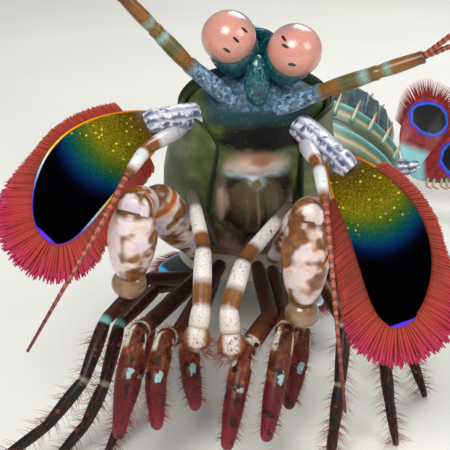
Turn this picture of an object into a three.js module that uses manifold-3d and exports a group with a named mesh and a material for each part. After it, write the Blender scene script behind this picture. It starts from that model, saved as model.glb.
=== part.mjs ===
// Pink-eared mantis shrimp, life size, reared up with its underside to the front.
// Millimetres, +Z up. The head looks toward -Y, and the animal's own left is +X.
// Every piece is a closed solid, and pieces that touch keep a small gap.
import * as THREE from 'three';
import { mergeVertices } from 'three/addons/utils/BufferGeometryUtils.js';
import Module from 'manifold-3d';

const wasm = await Module();
wasm.setup();

// Gap between pieces that touch, and the slightly smaller one that a neighbour is cut back by
const GAP = 0.3;
const CUT_GAP = 0.27;

// Thickness of a plate
const THIN = 0.5;

// Edges shorter than this are merged after a join or a cut
const MERGE = 0.012;

// Lengths along the body, from the front of the carapace to the end of the telson
const CARAPACE_LENGTH = 18;
const THORAX_LENGTH = 12.5;
const SOMITE_LENGTH = 6.1;
const SOMITES = 6;
const TELSON_LENGTH = 13;
const THORAX_START = CARAPACE_LENGTH;
const ABDOMEN_START = THORAX_START + THORAX_LENGTH;
const TELSON_START = ABDOMEN_START + SOMITES * SOMITE_LENGTH;

// Half widths and heights of the body
const CARAPACE_HALF_WIDTH = 8;
const CARAPACE_RISE = 4.6;
const CARAPACE_DEPTH = 4.2;
const CARAPACE_WALL = 0.7;
const CARAPACE_WRAP = 1.0;
const CARAPACE_CORNER = 3.2;
const THORAX_HALF_WIDTH = 6.8;
const ABDOMEN_HALF_WIDTH = 8.2;
const ABDOMEN_RISE = 3.6;
const ABDOMEN_DEPTH = 2.6;

// Route of the body's middle line: the front reared, the abdomen level, the tail turned left and up
const BODY_ROUTE = [
  [2.8, 6.4, 31.0], [2.3, 9.8, 22.6], [1.8, 13.2, 14.3], [1.8, 17.3, 9.6], [2.4, 23.0, 7.4],
  [5.6, 29.6, 6.6], [9.6, 35.6, 6.4], [13.0, 42.0, 7.0], [15.4, 49.0, 7.9], [17.2, 56.0, 8.8],
  [18.9, 62.5, 9.8], [20.6, 69.0, 10.8],
];
const TAIL_ROLL = 0.55;

// Head pieces
const EYE_RADIUS = 2.28;
const SCALE_HALF_WIDTH = 3.3;
const SCALE_BOW = 1.6;
const SCALE_DOME = 0.7;
const SCALE_VANES = 20;

// Tail fan and swimming legs
const EXOPOD_LENGTH = 11;
const ENDOPOD_LENGTH = 9.6;
const PADDLE_HALF_WIDTH = 3.5;
const PLEOPOD_LENGTH = 7.4;
const PLEOPOD_HALF_WIDTH = 2.8;
const EXOPOD_VANES = 8;
const ENDOPOD_VANES = 7;
const PLEOPOD_VANES = 5;
const UROPOD_SPINES = 6;

// Vanes of a fringe: thickness, depth of the root inside the rim, and lean toward the blade's tip
const VANE_THICKNESS = 0.5;
const VANE_ROOT = 0.7;
const VANE_LEAN = 0.45;

// Colours of the living animal
const SHELL = 0x6f7a4c;
const TEAL = 0x2d7f86;
const PINK = 0xe3aa9c;
const SCALE_OLIVE = 0x5f5a17;
const RED = 0x9c2a22;
const CREAM = 0xd9c3ab;
const BROWN = 0x6a3020;
const GOLD = 0x9a6a1c;
const DARK = 0x1c1a1a;
const TAIL_TEAL = 0x6aa79f;

const vec = (p) => new THREE.Vector3(...p);
const mix = THREE.MathUtils.lerp;
const smooth = THREE.MathUtils.smoothstep;

// A number from 0 to 1 for the k-th of many like pieces, the same on every run
const SEED = 43758.5453;
function vary(k) {
  const wave = Math.sin(k * 12.9898) * SEED;
  return wave - Math.floor(wave);
}

// A solid from points and triangles, turned to face outward
function solidOf(points, faces) {
  let volume = 0;
  for (const [a, b, c] of faces) {
    volume += points[a].dot(points[b].clone().cross(points[c]));
  }
  const geometry = new THREE.BufferGeometry();
  const numbers = points.flatMap((p) => p.toArray());
  geometry.setAttribute('position', new THREE.Float32BufferAttribute(numbers, 3));
  geometry.setIndex(faces.flatMap(([a, b, c]) => (volume > 0 ? [a, b, c] : [a, c, b])));
  const merged = mergeVertices(geometry, 1e-4);
  return new wasm.Manifold(new wasm.Mesh({
    numProp: 3,
    vertProperties: merged.attributes.position.array,
    triVerts: Uint32Array.from(merged.index.array),
  }));
}

// Joins rings of equal point count into a closed skin, with a fan over each end
function loft(rings) {
  const count = rings[0].length;
  const points = rings.flat();
  const faces = [];
  for (let r = 0; r < rings.length - 1; r += 1) {
    for (let i = 0; i < count; i += 1) {
      const j = (i + 1) % count;
      const a = r * count;
      faces.push([a + i, a + j, a + count + j], [a + i, a + count + j, a + count + i]);
    }
  }
  const ends = [[rings[0], 0, true], [rings.at(-1), points.length - count, false]];
  for (const [ring, offset, flip] of ends) {
    const middle = ring.reduce((sum, p) => sum.add(p), new THREE.Vector3()).divideScalar(count);
    const hub = points.push(middle) - 1;
    for (let i = 0; i < count; i += 1) {
      const j = (i + 1) % count;
      faces.push(flip ? [offset + j, offset + i, hub] : [offset + i, offset + j, hub]);
    }
  }
  return solidOf(points, faces);
}

// A thin closed plate from a grid of point pairs: at(f, g) gives its front and its back point
function plate(rows, columns, at) {
  const points = [];
  const faces = [];
  const index = (i, j) => (i * (columns + 1) + j) * 2;
  for (let i = 0; i <= rows; i += 1) {
    for (let j = 0; j <= columns; j += 1) points.push(...at(i / rows, j / columns));
  }
  for (let i = 0; i < rows; i += 1) {
    for (let j = 0; j < columns; j += 1) {
      const [a, b, c, d] = [index(i, j), index(i + 1, j), index(i + 1, j + 1), index(i, j + 1)];
      faces.push([a, b, c], [a, c, d], [a + 1, c + 1, b + 1], [a + 1, d + 1, c + 1]);
    }
  }
  const rim = [];
  for (let j = 0; j < columns; j += 1) rim.push(index(0, j));
  for (let i = 0; i < rows; i += 1) rim.push(index(i, columns));
  for (let j = columns; j > 0; j -= 1) rim.push(index(rows, j));
  for (let i = rows; i > 0; i -= 1) rim.push(index(i, 0));
  rim.forEach((a, k) => {
    const b = rim[(k + 1) % rim.length];
    faces.push([a, b, b + 1], [a, b + 1, a + 1]);
  });
  return solidOf(points, faces);
}

// An oval ring: a along the side vector, b along the up vector and bDown below the middle
function ring(centre, side, up, a, b, count, bDown = b) {
  const points = [];
  for (let i = 0; i < count; i += 1) {
    const angle = (i / count) * 2 * Math.PI;
    const height = Math.sin(angle) * (Math.sin(angle) > 0 ? b : bDown);
    points.push(centre.clone().addScaledVector(side, a * Math.cos(angle)).addScaledVector(up, height));
  }
  return points;
}

// A rod through stations { p, r }; flat squeezes it along the hint direction
function rod(stations, grow = 0, { sides = 7, flat = 1, hint = [0, -1, 0.3] } = {}) {
  const rings = [];
  const up = vec(hint);
  stations.forEach(({ p, r }, i) => {
    const before = stations[Math.max(i - 1, 0)].p;
    const after = stations[Math.min(i + 1, stations.length - 1)].p;
    const along = after.clone().sub(before).normalize();
    up.addScaledVector(along, -up.dot(along)).normalize();
    const side = along.clone().cross(up);
    const shift = i === 0 ? -grow : (i === stations.length - 1 ? grow : 0);
    rings.push(ring(p.clone().addScaledVector(along, shift), side, up, r + grow, r * flat + grow, sides));
  });
  return loft(rings);
}

// Stations on the straight line between two points: a row is the share of its length, and a radius
function between(from, to, rows) {
  return rows.map(([f, r]) => ({ p: vec(from).lerp(vec(to), f), r }));
}

// Stations of a jointed limb: each piece swells from a narrow neck and narrows to the next joint.
// A row of SWELL is the share of the piece's length, and the share of its radius there.
const SWELL = [[0.07, 0.74], [0.42, 1], [0.93, 0.72]];
function jointed(joints, radii, swell = SWELL) {
  const stations = [];
  for (let i = 0; i < joints.length - 1; i += 1) {
    for (const [f, k] of swell) {
      const p = vec(joints[i]).lerp(vec(joints[i + 1]), f);
      stations.push({ p, r: k * mix(radii[i], radii[i + 1], f) });
    }
  }
  return stations;
}

// A smooth tapering rod through a few points, for feelers
function feeler(joints, r0, r1, steps, grow = 0, sides = 5) {
  const curve = new THREE.CatmullRomCurve3(joints.map(vec), false, 'centripetal');
  const stations = [];
  for (let i = 0; i <= steps; i += 1) {
    stations.push({ p: curve.getPointAt(i / steps), r: mix(r0, r1, i / steps) });
  }
  return rod(stations, grow, { sides });
}

// A ball with three radii, in rings from its lower to its upper pole
function ball(centre, [rx, ry, rz], grow = 0, around = 12, rows = 8) {
  const rings = [];
  const poles = 0.18;
  for (let i = 0; i <= rows; i += 1) {
    const angle = mix(poles, Math.PI - poles, i / rows);
    const middle = vec(centre).add(new THREE.Vector3(0, 0, -(rz + grow) * Math.cos(angle)));
    const s = Math.sin(angle);
    rings.push(ring(middle, vec([1, 0, 0]), vec([0, 1, 0]), (rx + grow) * s, (ry + grow) * s, around));
  }
  return loft(rings);
}

// A pointed spine of four sides
function spine(root, tip, radius, grow = 0) {
  const waist = root.clone().lerp(tip, 0.6);
  const stations = [{ p: root, r: radius }, { p: waist, r: radius * 0.62 }, { p: tip, r: 0.08 }];
  return rod(stations, grow, { sides: 4 });
}

// The body's frame at a distance s behind the carapace front: middle, tailward, left and dorsal
const bodyCurve = new THREE.CatmullRomCurve3(BODY_ROUTE.map(vec), false, 'centripetal');
bodyCurve.arcLengthDivisions = 600;
const routeLength = bodyCurve.getLength();
function bodyAt(s) {
  const u = THREE.MathUtils.clamp(s / routeLength, 0, 1);
  const along = bodyCurve.getTangentAt(u);
  const middle = bodyCurve.getPointAt(u).addScaledVector(along, s - u * routeLength);
  const left = along.clone().cross(vec([0, 0, 1])).normalize();
  const dorsal = left.clone().cross(along);
  const roll = TAIL_ROLL * smooth(s, ABDOMEN_START + SOMITE_LENGTH, TELSON_START);
  left.applyAxisAngle(along, -roll);
  dorsal.applyAxisAngle(along, -roll);
  return { middle, along, left, dorsal };
}
function onBody(s, leftward, dorsalward) {
  const { middle, left, dorsal } = bodyAt(s);
  return middle.addScaledVector(left, leftward).addScaledVector(dorsal, dorsalward);
}

// A closed stretch of the body: station rows are [s, half width, rise, depth]
function stretch(rows, grow = 0, count = 20) {
  return loft(rows.map(([s, a, rise, depth], i) => {
    const shift = i === 0 ? -grow : (i === rows.length - 1 ? grow : 0);
    const { middle, left, dorsal } = bodyAt(s + shift);
    return ring(middle, left, dorsal, a + grow, rise + grow, count, depth + grow);
  }));
}

// The surface of a thin blade from base to tip: an egg outline, bowed to its outer side and domed.
// at(v, u, lift) is the point at share v of the length and share u of the half width.
const BLADE_END = 0.985;
function bladeShape({ base, tip, outer, halfWidth, bow = 0, dome = 0, baseWidth = 0.03 }) {
  const along = tip.clone().sub(base);
  const length = along.length();
  along.normalize();
  const side = outer.clone().addScaledVector(along, -outer.dot(along)).normalize();
  const normal = side.clone().cross(along);
  const egg = (v) => ((v + baseWidth) ** 0.58) * ((1 - v) ** 0.4);
  const widest = egg(0.6);
  const at = (v, u, lift) => base.clone()
    .addScaledVector(along, length * v)
    .addScaledVector(side, bow * Math.sin(Math.PI * v) + halfWidth * (egg(v) / widest) * u)
    .addScaledVector(normal, dome * (1 - u * u) * Math.sin(Math.PI * v) + lift);
  return { along, side, normal, at };
}

function bladePlate(shape, rows, columns, grow = 0) {
  const lift = THIN / 2 + grow;
  return plate(rows, columns, (f, g) => {
    const v = BLADE_END * Math.sin(f * Math.PI / 2);
    const u = g * 2 - 1;
    return [shape.at(v, u, lift), shape.at(v, u, -lift)];
  });
}

// Places spaced evenly along the rim of a blade, from the outer base (0) round the tip (1) to the
// inner base (2)
function rimPlaces(shape, count, start, end) {
  const steps = 240;
  const trail = [];
  let run = 0;
  for (let i = 0; i <= steps; i += 1) {
    const q = mix(start, end, i / steps);
    const v = BLADE_END * Math.sin(Math.min(q, 2 - q) * Math.PI / 2);
    const p = shape.at(v, q < 1 ? 1 : -1, 0);
    if (i > 0) run += p.distanceTo(trail[i - 1].p);
    trail.push({ p, v, outerSide: q < 1, run });
  }
  const places = [];
  for (let k = 0; k < count; k += 1) {
    const goal = (run * (k + 0.5)) / count;
    const i = trail.findIndex((t) => t.run >= goal);
    const tangent = trail[i].p.clone().sub(trail[i - 1].p).normalize();
    places.push({ ...trail[i], tangent, spacing: run / count });
  }
  return places;
}

// Tapered vanes that stand for the bristles round a blade. Each is rooted inside the rim and
// overlaps the next, and every second one stands a little higher.
function fringe(shape, count, lengthAt, grow = 0, { start = 0.12, end = 1.8 } = {}) {
  const heart = shape.at(0.55, 0, 0);
  return rimPlaces(shape, count, start, end).map((place, k) => {
    const outward = shape.normal.clone().cross(place.tangent);
    if (outward.dot(place.p.clone().sub(heart)) < 0) outward.negate();
    outward.addScaledVector(shape.along, VANE_LEAN).normalize();
    const wide = shape.normal.clone().cross(outward);
    const length = lengthAt(place.v, place.outerSide) * mix(0.9, 1.1, vary(k));
    const lift = (k % 2 === 0 ? 1 : -1) * VANE_THICKNESS * 0.22;
    const from = place.p.clone().addScaledVector(outward, -VANE_ROOT).addScaledVector(shape.normal, lift);
    const rows = [[0, 0.5, 0.5], [VANE_ROOT + length + grow, 0.22, 0.2]];
    return loft(rows.map(([distance, width, depth]) => {
      const middle = from.clone().addScaledVector(outward, distance);
      const [a, b] = [width * place.spacing + grow, depth * VANE_THICKNESS + grow];
      return ring(middle, wide, shape.normal, a, b, 4);
    }));
  });
}

// The one closed body with the most volume, and the union of many solids as one such body
function largest(solid) {
  const pieces = solid.simplify(MERGE).decompose();
  return pieces.reduce((best, piece) => (piece.volume() > best.volume() ? piece : best));
}
function unite(solids) {
  return largest(solids.reduce((sum, piece) => sum.add(piece)));
}

// The floor under the animal: whatever reaches lower is cut flat
const FLOOR = solidOf(
  [[-90, -90], [90, -90], [90, 90], [-90, 90]].flatMap(([x, y]) => [vec([x, y, 0]), vec([x, y, -40])]),
  [[0, 2, 4], [0, 4, 6], [1, 5, 3], [1, 7, 5], [0, 1, 3], [0, 3, 2], [2, 3, 5], [2, 5, 4],
    [4, 5, 7], [4, 7, 6], [6, 7, 1], [6, 1, 0]],
);

// Every node: its colour, and its shape as a function of how much it is grown on all sides
const nodes = new Map();
function node(name, colour, shape, roughness = 0.45) {
  nodes.set(name, { colour, shape, roughness });
}
const SIDES = [['R', -1], ['L', 1]];

// Carapace: a shield that wraps the head from the back, open along the mouth side
function carapaceSection(v) {
  const swell = mix(0.86, 1, smooth(v, 0, 0.55));
  return { a: CARAPACE_HALF_WIDTH * swell, rise: CARAPACE_RISE * swell, depth: CARAPACE_DEPTH };
}
function carapace(grow = 0) {
  return plate(7, 12, (f, g) => {
    const angle = mix(-CARAPACE_WRAP - grow / 4, Math.PI + CARAPACE_WRAP + grow / 4, g);
    const edge = Math.abs(Math.cos(angle)) ** 4;
    const corner = CARAPACE_CORNER * Math.abs(2 * g - 1) ** 12;
    const front = GAP + 0.9 * edge + corner - grow;
    const rear = CARAPACE_LENGTH - GAP / 2 - 1.4 * edge + grow;
    const { a, rise, depth } = carapaceSection(f);
    return [grow, -CARAPACE_WALL - grow].map((wall) => {
      const height = (Math.sin(angle) > 0 ? rise : depth) + wall;
      return onBody(mix(front, rear, f), (a + wall) * Math.cos(angle), height * Math.sin(angle));
    });
  });
}
node('carapace', SHELL, carapace);

// Head inside the shield: the flesh round the mouth, the labrum between two cheeks, the brow above
// it and the column that the eyes stand on
const HEAD_FRONT = [[-1.6, 1.3, 1.0, 1.0], [-0.8, 2.4, 1.7, 1.6], [0.4, 4.4, 3, 2.4]];
const HEAD_SHARES = [0.1, 0.3, 0.55, 0.8, 0.985];
const HEAD_BALLS = [
  { name: 'eye column', at: [2.7, 5.4, 32.0], radii: [1.1, 1.1, 2.3] },
  { name: 'brow', at: [1.9, 5.6, 25.0], radii: [2.4, 1.5, 1.5] },
  { name: 'labrum', at: [1.5, 5.0, 21.3], radii: [2.4, 2.1, 2.3] },
  { name: 'right cheek', at: [0.2, 6.6, 17.9], radii: [1.7, 1.6, 1.9] },
  { name: 'left cheek', at: [3.0, 6.6, 17.9], radii: [1.7, 1.6, 1.9] },
];
function head(grow = 0) {
  const inner = CARAPACE_WALL + GAP + 0.4;
  const rows = HEAD_SHARES.map((v) => {
    const { a, rise, depth } = carapaceSection(v);
    return [v * CARAPACE_LENGTH, a - inner, rise - inner, depth - inner];
  });
  const balls = HEAD_BALLS.map(({ at, radii }) => ball(at, radii, grow, 8, 5));
  return unite([stretch([...HEAD_FRONT, ...rows], grow, 16), ...balls]);
}
node('head', SHELL, head);

// Free thorax and abdomen: plates that flare a little toward their rear edge. A size is a pair,
// at the front and at the rear.
function somite(start, end, halfWidth, rise, depth) {
  return (grow = 0) => {
    const rows = [[0, 0.93], [0.2, 0.97], [0.6, 1], [1, 1.02]].map(([f, k]) => {
      const s = mix(start + GAP / 2, end - GAP / 2, f);
      const [a, h, d] = [halfWidth, rise, depth].map((size) => mix(size[0], size[1], f) * k);
      return [s, a, h, d];
    });
    return stretch(rows, grow, 16);
  };
}
const THORAX = [
  ['thorax_5_6', 0, 0.5, [5.6, 6.2], [3.5, 3.4], [3.1, 2.8]],
  ['thorax_7', 0.5, 0.75, [6.2, 6.6], [3.4, 3.4], [2.8, 2.6]],
  ['thorax_8', 0.75, 1, [6.6, 7.0], [3.4, 3.4], [2.6, 2.6]],
];
for (const [name, from, to, halfWidth, rise, depth] of THORAX) {
  const at = (f) => THORAX_START + f * THORAX_LENGTH;
  node(name, SHELL, somite(at(from), at(to), halfWidth, rise, depth));
}
function widthAt(i) {
  const swell = mix(THORAX_HALF_WIDTH + 0.4, ABDOMEN_HALF_WIDTH, smooth(i, 0, 2.5));
  return swell * mix(1, 0.93, smooth(i, 4, 6));
}
for (let i = 0; i < SOMITES; i += 1) {
  const start = ABDOMEN_START + i * SOMITE_LENGTH;
  const halfWidth = [widthAt(i), widthAt(i + 1)];
  const rise = [ABDOMEN_RISE, ABDOMEN_RISE];
  const depth = [ABDOMEN_DEPTH, ABDOMEN_DEPTH];
  const plain = somite(start, start + SOMITE_LENGTH, halfWidth, rise, depth);
  const last = i === SOMITES - 1;
  const shape = last ? (grow = 0) => unite([plain(grow), ...tailSpines(start, grow)]) : plain;
  node(`abdomen_${i + 1}`, TAIL_TEAL, shape);
}

// Six spines on the rear edge of the last somite
function tailSpines(start, grow) {
  return [-0.82, -0.5, -0.17, 0.17, 0.5, 0.82].map((across) => {
    const a = widthAt(SOMITES) * across;
    const rise = ABDOMEN_RISE * Math.sqrt(1 - across * across) * 1.02;
    const root = onBody(start + 2.4, a, rise - 0.15);
    const tip = onBody(start + SOMITE_LENGTH + 1.5, a * 1.08, rise + 0.9);
    return spine(root, tip, 0.5, grow);
  });
}

// Telson: a low domed shield with three keels and a toothed rear edge.
// Rows are [share of length, half width, rise, depth]; keels are [across, end share];
// teeth are [across, share of length, reach].
const TELSON_ROWS = [
  [0, 5.6, 2.2, 1.3], [0.2, 6.4, 2.2, 1.2], [0.5, 6.3, 1.9, 1.0], [0.75, 4.9, 1.4, 0.8],
  [0.9, 3.0, 0.9, 0.5],
];
const TELSON_KEELS = [[0, 0.8], [-2.6, 0.7], [2.6, 0.7]];
const TELSON_TEETH = [
  [-5.6, 0.62, 1.6], [-3.6, 0.84, 2.2], [-1.4, 0.9, 2.4], [1.4, 0.9, 2.4], [3.6, 0.84, 2.2],
  [5.6, 0.62, 1.6],
];
function telson(grow = 0) {
  const lengthwise = (f) => mix(TELSON_START + GAP / 2, TELSON_START + TELSON_LENGTH, f);
  const rows = TELSON_ROWS.map(([f, ...sizes]) => [lengthwise(f), ...sizes]);
  const keels = TELSON_KEELS.map(([a, end]) => {
    const crest = (f) => onBody(lengthwise(f), a * (1 - 0.25 * f), mix(2.35, 1.1, f) - a * a * 0.09);
    const stations = [{ p: crest(0.08), r: 0.3 }, { p: crest(0.4), r: 0.42 }, { p: crest(end), r: 0.25 }];
    return rod(stations, grow, { sides: 5 });
  });
  const teeth = TELSON_TEETH.map(([a, f, reach]) => {
    const root = onBody(lengthwise(f) - 0.8, a * 0.86, 0);
    return spine(root, onBody(lengthwise(f) + reach, a, 0.2), 0.6, grow);
  });
  return unite([stretch(rows, grow, 14), ...keels, ...teeth]);
}
node('telson', TEAL, telson);

// Rostral plate: a small pointed shield between the eyes. Rows are [s, half width, half thickness].
const ROSTRAL_ROWS = [[-0.3, 2.9, 0.35], [-1.8, 2.6, 0.35], [-3.1, 1.4, 0.3], [-3.8, 0.4, 0.25]];
const ROSTRAL_LIFT = 3.6;
function rostralPlate(grow = 0) {
  return loft(ROSTRAL_ROWS.map(([s, a, t], i) => {
    const shift = i === 0 ? grow : (i === ROSTRAL_ROWS.length - 1 ? -grow : 0);
    const { left, dorsal } = bodyAt(s);
    return ring(onBody(s + shift, 0, ROSTRAL_LIFT), left, dorsal, a + grow, t + grow, 8);
  }));
}
node('rostral_plate', TEAL, rostralPlate);

// Eyes on short stalks. Rows are [share of length, radius]: a stalk widens to the cup under its eye.
const EYES = { R: [0.3, 4.8, 36.0], L: [5.8, 4.3, 35.0] };
const STALK_ROWS = [[0, 1.15], [0.4, 1.15], [0.6, 1.7], [0.78, 1.85]];
const STALK_ROOTS = { R: [1.9, 7.0, 31.6], L: [3.9, 6.9, 31.5] };
for (const [side] of SIDES) {
  const eye = (grow = 0) => ball(EYES[side], [EYE_RADIUS, EYE_RADIUS, EYE_RADIUS * 0.98], grow, 12, 8);
  const stalk = (grow = 0) => {
    return rod(between(STALK_ROOTS[side], EYES[side], STALK_ROWS), grow, { sides: 8 });
  };
  node(`eye_${side}`, PINK, eye, 0.25);
  node(`eyestalk_${side}`, TEAL, stalk);
}

// Antennules: three stout pieces and three thin flagella each
const ANTENNULES = {
  R: { joints: [[1.0, 6.2, 29.0], [-3.2, 2.9, 34.4], [-5.8, 2.2, 37.5], [-8.2, 1.3, 40.4]],
    ends: [[-15.2, 3.4, 46.5], [-13.4, 0.4, 48.0], [-17.0, -1.0, 43.5]] },
  L: { joints: [[4.2, 6.2, 28.9], [8.3, 2.9, 32.0], [12.6, 1.6, 34.0], [16.1, 1.2, 35.4]],
    ends: [[25.5, 3.0, 40.5], [26.5, 0.2, 37.8], [24.5, -2.4, 41.8]] },
};
for (const [side] of SIDES) {
  const { joints, ends } = ANTENNULES[side];
  const antennule = (grow = 0) => {
    const root = joints[3].map((x, i) => mix(x, joints[2][i], 0.1));
    const flagella = ends.map((end) => {
      const bend = joints[3].map((x, i) => mix(x, end[i], 0.45) + (i === 2 ? 0.8 : 0));
      return feeler([root, bend, end], 0.27, 0.14, 4, grow, 4);
    });
    const stalk = rod(jointed(joints, [0.72, 0.66, 0.62, 0.56]), grow, { sides: 7 });
    return unite([stalk, ...flagella]);
  };
  node(`antennule_${side}`, GOLD, antennule);
}

// Antennae: a short banded peduncle and one thin flagellum
const ANTENNAE = {
  R: [[-3.6, 5.0, 28.0], [-6.4, -0.9, 28.3], [-7.9, -3.9, 26.9], [-10.0, -8.0, 23.9], [-12.6, -10.4, 20.0],
    [-15.3, -11.4, 15.5]],
  L: [[6.8, 3.0, 27.2], [7.6, -1.4, 27.1], [7.9, -5.7, 25.3], [8.1, -8.5, 22.8], [8.6, -11.6, 17.5],
    [9.2, -14.2, 11.8]],
};
for (const [side] of SIDES) {
  const joints = ANTENNAE[side];
  const antenna = (grow = 0) => unite([
    rod(jointed(joints.slice(0, 3), [0.75, 0.6, 0.42]), grow),
    feeler([joints[1].map((x, i) => mix(x, joints[2][i], 0.7)), ...joints.slice(2)], 0.33, 0.18, 9, grow, 5),
  ]);
  node(`antenna_${side}`, BROWN, antenna);
}

// Raptorial claws: merus, propodus with its carpus, and the clubbed dactyl folded on the propodus.
// Rows are [share of length, radius]; heel is how far the club hangs below the propodus.
const CLAWS = {
  R: {
    root: [-2.6, 6.6, 15.0], elbow: [-6.1, -0.4, 23.9], wrist: [-7.2, -4.6, 24.6], end: [-7.9, -4.1, 18.2],
    heel: 0.9,
  },
  L: {
    root: [4.6, 6.6, 14.6], elbow: [7.7, -0.8, 22.9], wrist: [6.6, -4.9, 24.0], end: [6.5, -4.4, 16.0],
    heel: 1.4,
  },
};
const MERUS_ROWS = [[0, 0.8], [0.18, 1.0], [0.45, 1.7], [0.75, 1.95], [0.94, 1.6], [1.04, 0.8]];
const PALM_ROWS = [[0, 1.1], [0.12, 1.7], [0.4, 2.05], [0.72, 1.75], [0.95, 1.15], [1.02, 0.7]];
const CARPUS_ROWS = [[0.3, 1.0], [0.65, 1.5], [1.0, 1.45], [1.15, 0.9]];
const CLUB_RADII = [1.5, 1.3, 1.35];
for (const [side] of SIDES) {
  const { root, elbow, wrist, end, heel } = CLAWS[side];
  const up = vec(wrist).sub(vec(end)).normalize();
  const inward = vec(root).sub(vec(elbow)).setZ(0).normalize();
  const merus = (grow = 0) => rod(between(root, elbow, MERUS_ROWS), grow, {
    sides: 10, flat: 0.75, hint: [0.3, -1, 0],
  });
  const propodus = (grow = 0) => unite([
    rod(between(wrist, end, PALM_ROWS), grow, { sides: 10, flat: 0.85, hint: [0, -1, 0] }),
    rod(between(elbow, wrist, CARPUS_ROWS), grow, { sides: 9, hint: [0, -1, 0.2] }),
  ]);
  const dactyl = (grow = 0) => {
    const club = vec(end).addScaledVector(up, -heel).add(vec([0, 0.5, 0]));
    const start = club.clone().addScaledVector(inward, 0.9);
    const mid = vec(end).addScaledVector(up, 1.2).addScaledVector(inward, 1.9);
    const tip = vec(end).addScaledVector(up, 5.6).addScaledVector(inward, 2.3);
    const bend = mid.clone().lerp(tip, 0.6);
    const finger = [{ p: start, r: 0.75 }, { p: mid, r: 0.55 }, { p: bend, r: 0.42 }, { p: tip, r: 0.15 }];
    return unite([ball(club.toArray(), CLUB_RADII, grow, 8, 6), rod(finger, grow, { sides: 6 })]);
  };
  node(`raptorial_merus_${side}`, CREAM, merus);
  node(`raptorial_propodus_${side}`, CREAM, propodus);
  node(`raptorial_dactyl_${side}`, CREAM, dactyl);
}

// Slender first maxillipeds that meet before the mouth, each with an oval pad at its end
const MAXILLIPEDS_1 = {
  R: [[-0.9, 8.2, 15.4], [-2.9, 3.4, 22.6], [-1.8, -2.4, 20.1], [-1.9, -6.3, 16.6], [-2.3, -7.4, 14.3]],
  L: [[3.2, 8.2, 15.2], [5.7, 3.2, 21.4], [1.6, -3.0, 19.2], [0.3, -6.4, 16.4], [0.5, -7.6, 13.8]],
};
for (const [side] of SIDES) {
  const joints = MAXILLIPEDS_1[side];
  const limb = (grow = 0) => unite([
    rod(jointed(joints, [0.55, 0.62, 0.76, 0.86, 0.88]), grow, { sides: 6 }),
    ball(joints.at(-1), [1.15, 0.9, 1.25], grow, 8, 5),
  ]);
  node(`maxilliped_1_${side}`, CREAM, limb);
}

// Third to fifth maxillipeds: folded limbs with a broad hand and a small hooked dactyl
const MAXILLIPEDS = {
  3: {
    R: [[-0.4, 9.2, 12.6], [-4.1, -2.4, 11.6], [-5.0, -5.2, 13.0], [-5.7, -8.2, 10.9], [-5.6, -9.6, 7.6]],
    L: [[3.1, 9.2, 12.4], [3.9, -2.5, 13.6], [1.6, -6.5, 12.4], [0.9, -8.8, 10.0], [0.2, -11.0, 6.6]],
  },
  4: {
    R: [[-1.6, 10.2, 11.6], [-6.6, -2.2, 12.6], [-7.2, -5.9, 13.9], [-8.0, -8.9, 11.7], [-8.6, -10.6, 7.4]],
    L: [[4.6, 10.2, 11.4], [5.2, -1.2, 12.6], [5.0, -5.2, 13.4], [4.2, -8.4, 11.0], [3.4, -10.8, 7.3]],
  },
  5: {
    R: [[-1.0, 12.6, 9.4], [-3.0, 3.0, 8.6], [-3.3, -0.6, 10.4], [-3.0, -3.6, 8.6], [-2.6, -4.6, 6.0]],
    L: [[4.0, 12.6, 9.2], [6.4, 3.2, 8.8], [6.9, 0.0, 10.2], [6.2, -3.2, 8.6], [5.6, -4.4, 6.0]],
  },
};
for (const [number, pair] of Object.entries(MAXILLIPEDS)) {
  for (const [side] of SIDES) {
    const limb = (grow = 0) => rod(jointed(pair[side], [0.7, 0.8, 0.9, 1.1, 0.5]), grow, { sides: 6 });
    node(`maxilliped_${number}_${side}`, BROWN, limb);
  }
}

// Walking legs: three pairs, the knees out and the tips on the floor
const LEG_RADII = [0.75, 0.7, 0.66, 0.6, 0.56, 0.4];
const WALKING_LEGS = {
  1: {
    R: [[-1.5, 13.6, 8.6], [-7.2, 4.6, 13.4], [-10.5, -0.9, 12.2], [-12.1, -4.9, 8.6], [-15.2, -6.7, 5.2],
      [-22.2, -8.0, -0.6]],
    L: [[5.2, 13.6, 8.6], [9.0, 5.0, 12.8], [10.6, -0.6, 11.6], [10.0, -3.8, 7.4], [9.5, -5.4, 3.8],
      [9.0, -6.8, -0.6]],
  },
  2: {
    R: [[-1.6, 16.6, 7.2], [-6.6, 8.0, 10.6], [-9.6, 1.8, 10.2], [-10.6, -3.2, 7.0], [-12.2, -4.6, 3.9],
      [-15.8, -6.4, -0.6]],
    L: [[5.4, 16.6, 7.2], [10.6, 9.6, 11.0], [13.4, 4.4, 10.4], [14.6, 0.8, 6.8], [15.0, -1.0, 3.6],
      [15.6, -2.6, -0.6]],
  },
  3: {
    R: [[-1.4, 19.6, 6.2], [-5.0, 11.4, 8.0], [-7.0, 5.0, 8.2], [-8.0, 0.0, 5.6], [-9.0, -2.2, 3.2],
      [-10.8, -4.2, -0.6]],
    L: [[5.6, 19.6, 6.2], [11.6, 14.6, 9.4], [15.8, 10.6, 9.0], [17.6, 8.2, 6.0], [18.4, 6.6, 3.2],
      [19.6, 5.2, -0.6]],
  },
};
for (const [number, pair] of Object.entries(WALKING_LEGS)) {
  for (const [side] of SIDES) {
    const leg = (grow = 0) => rod(jointed(pair[side], LEG_RADII), grow, { sides: 5 });
    node(`walking_leg_${number}_${side}`, BROWN, leg);
  }
}

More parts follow.
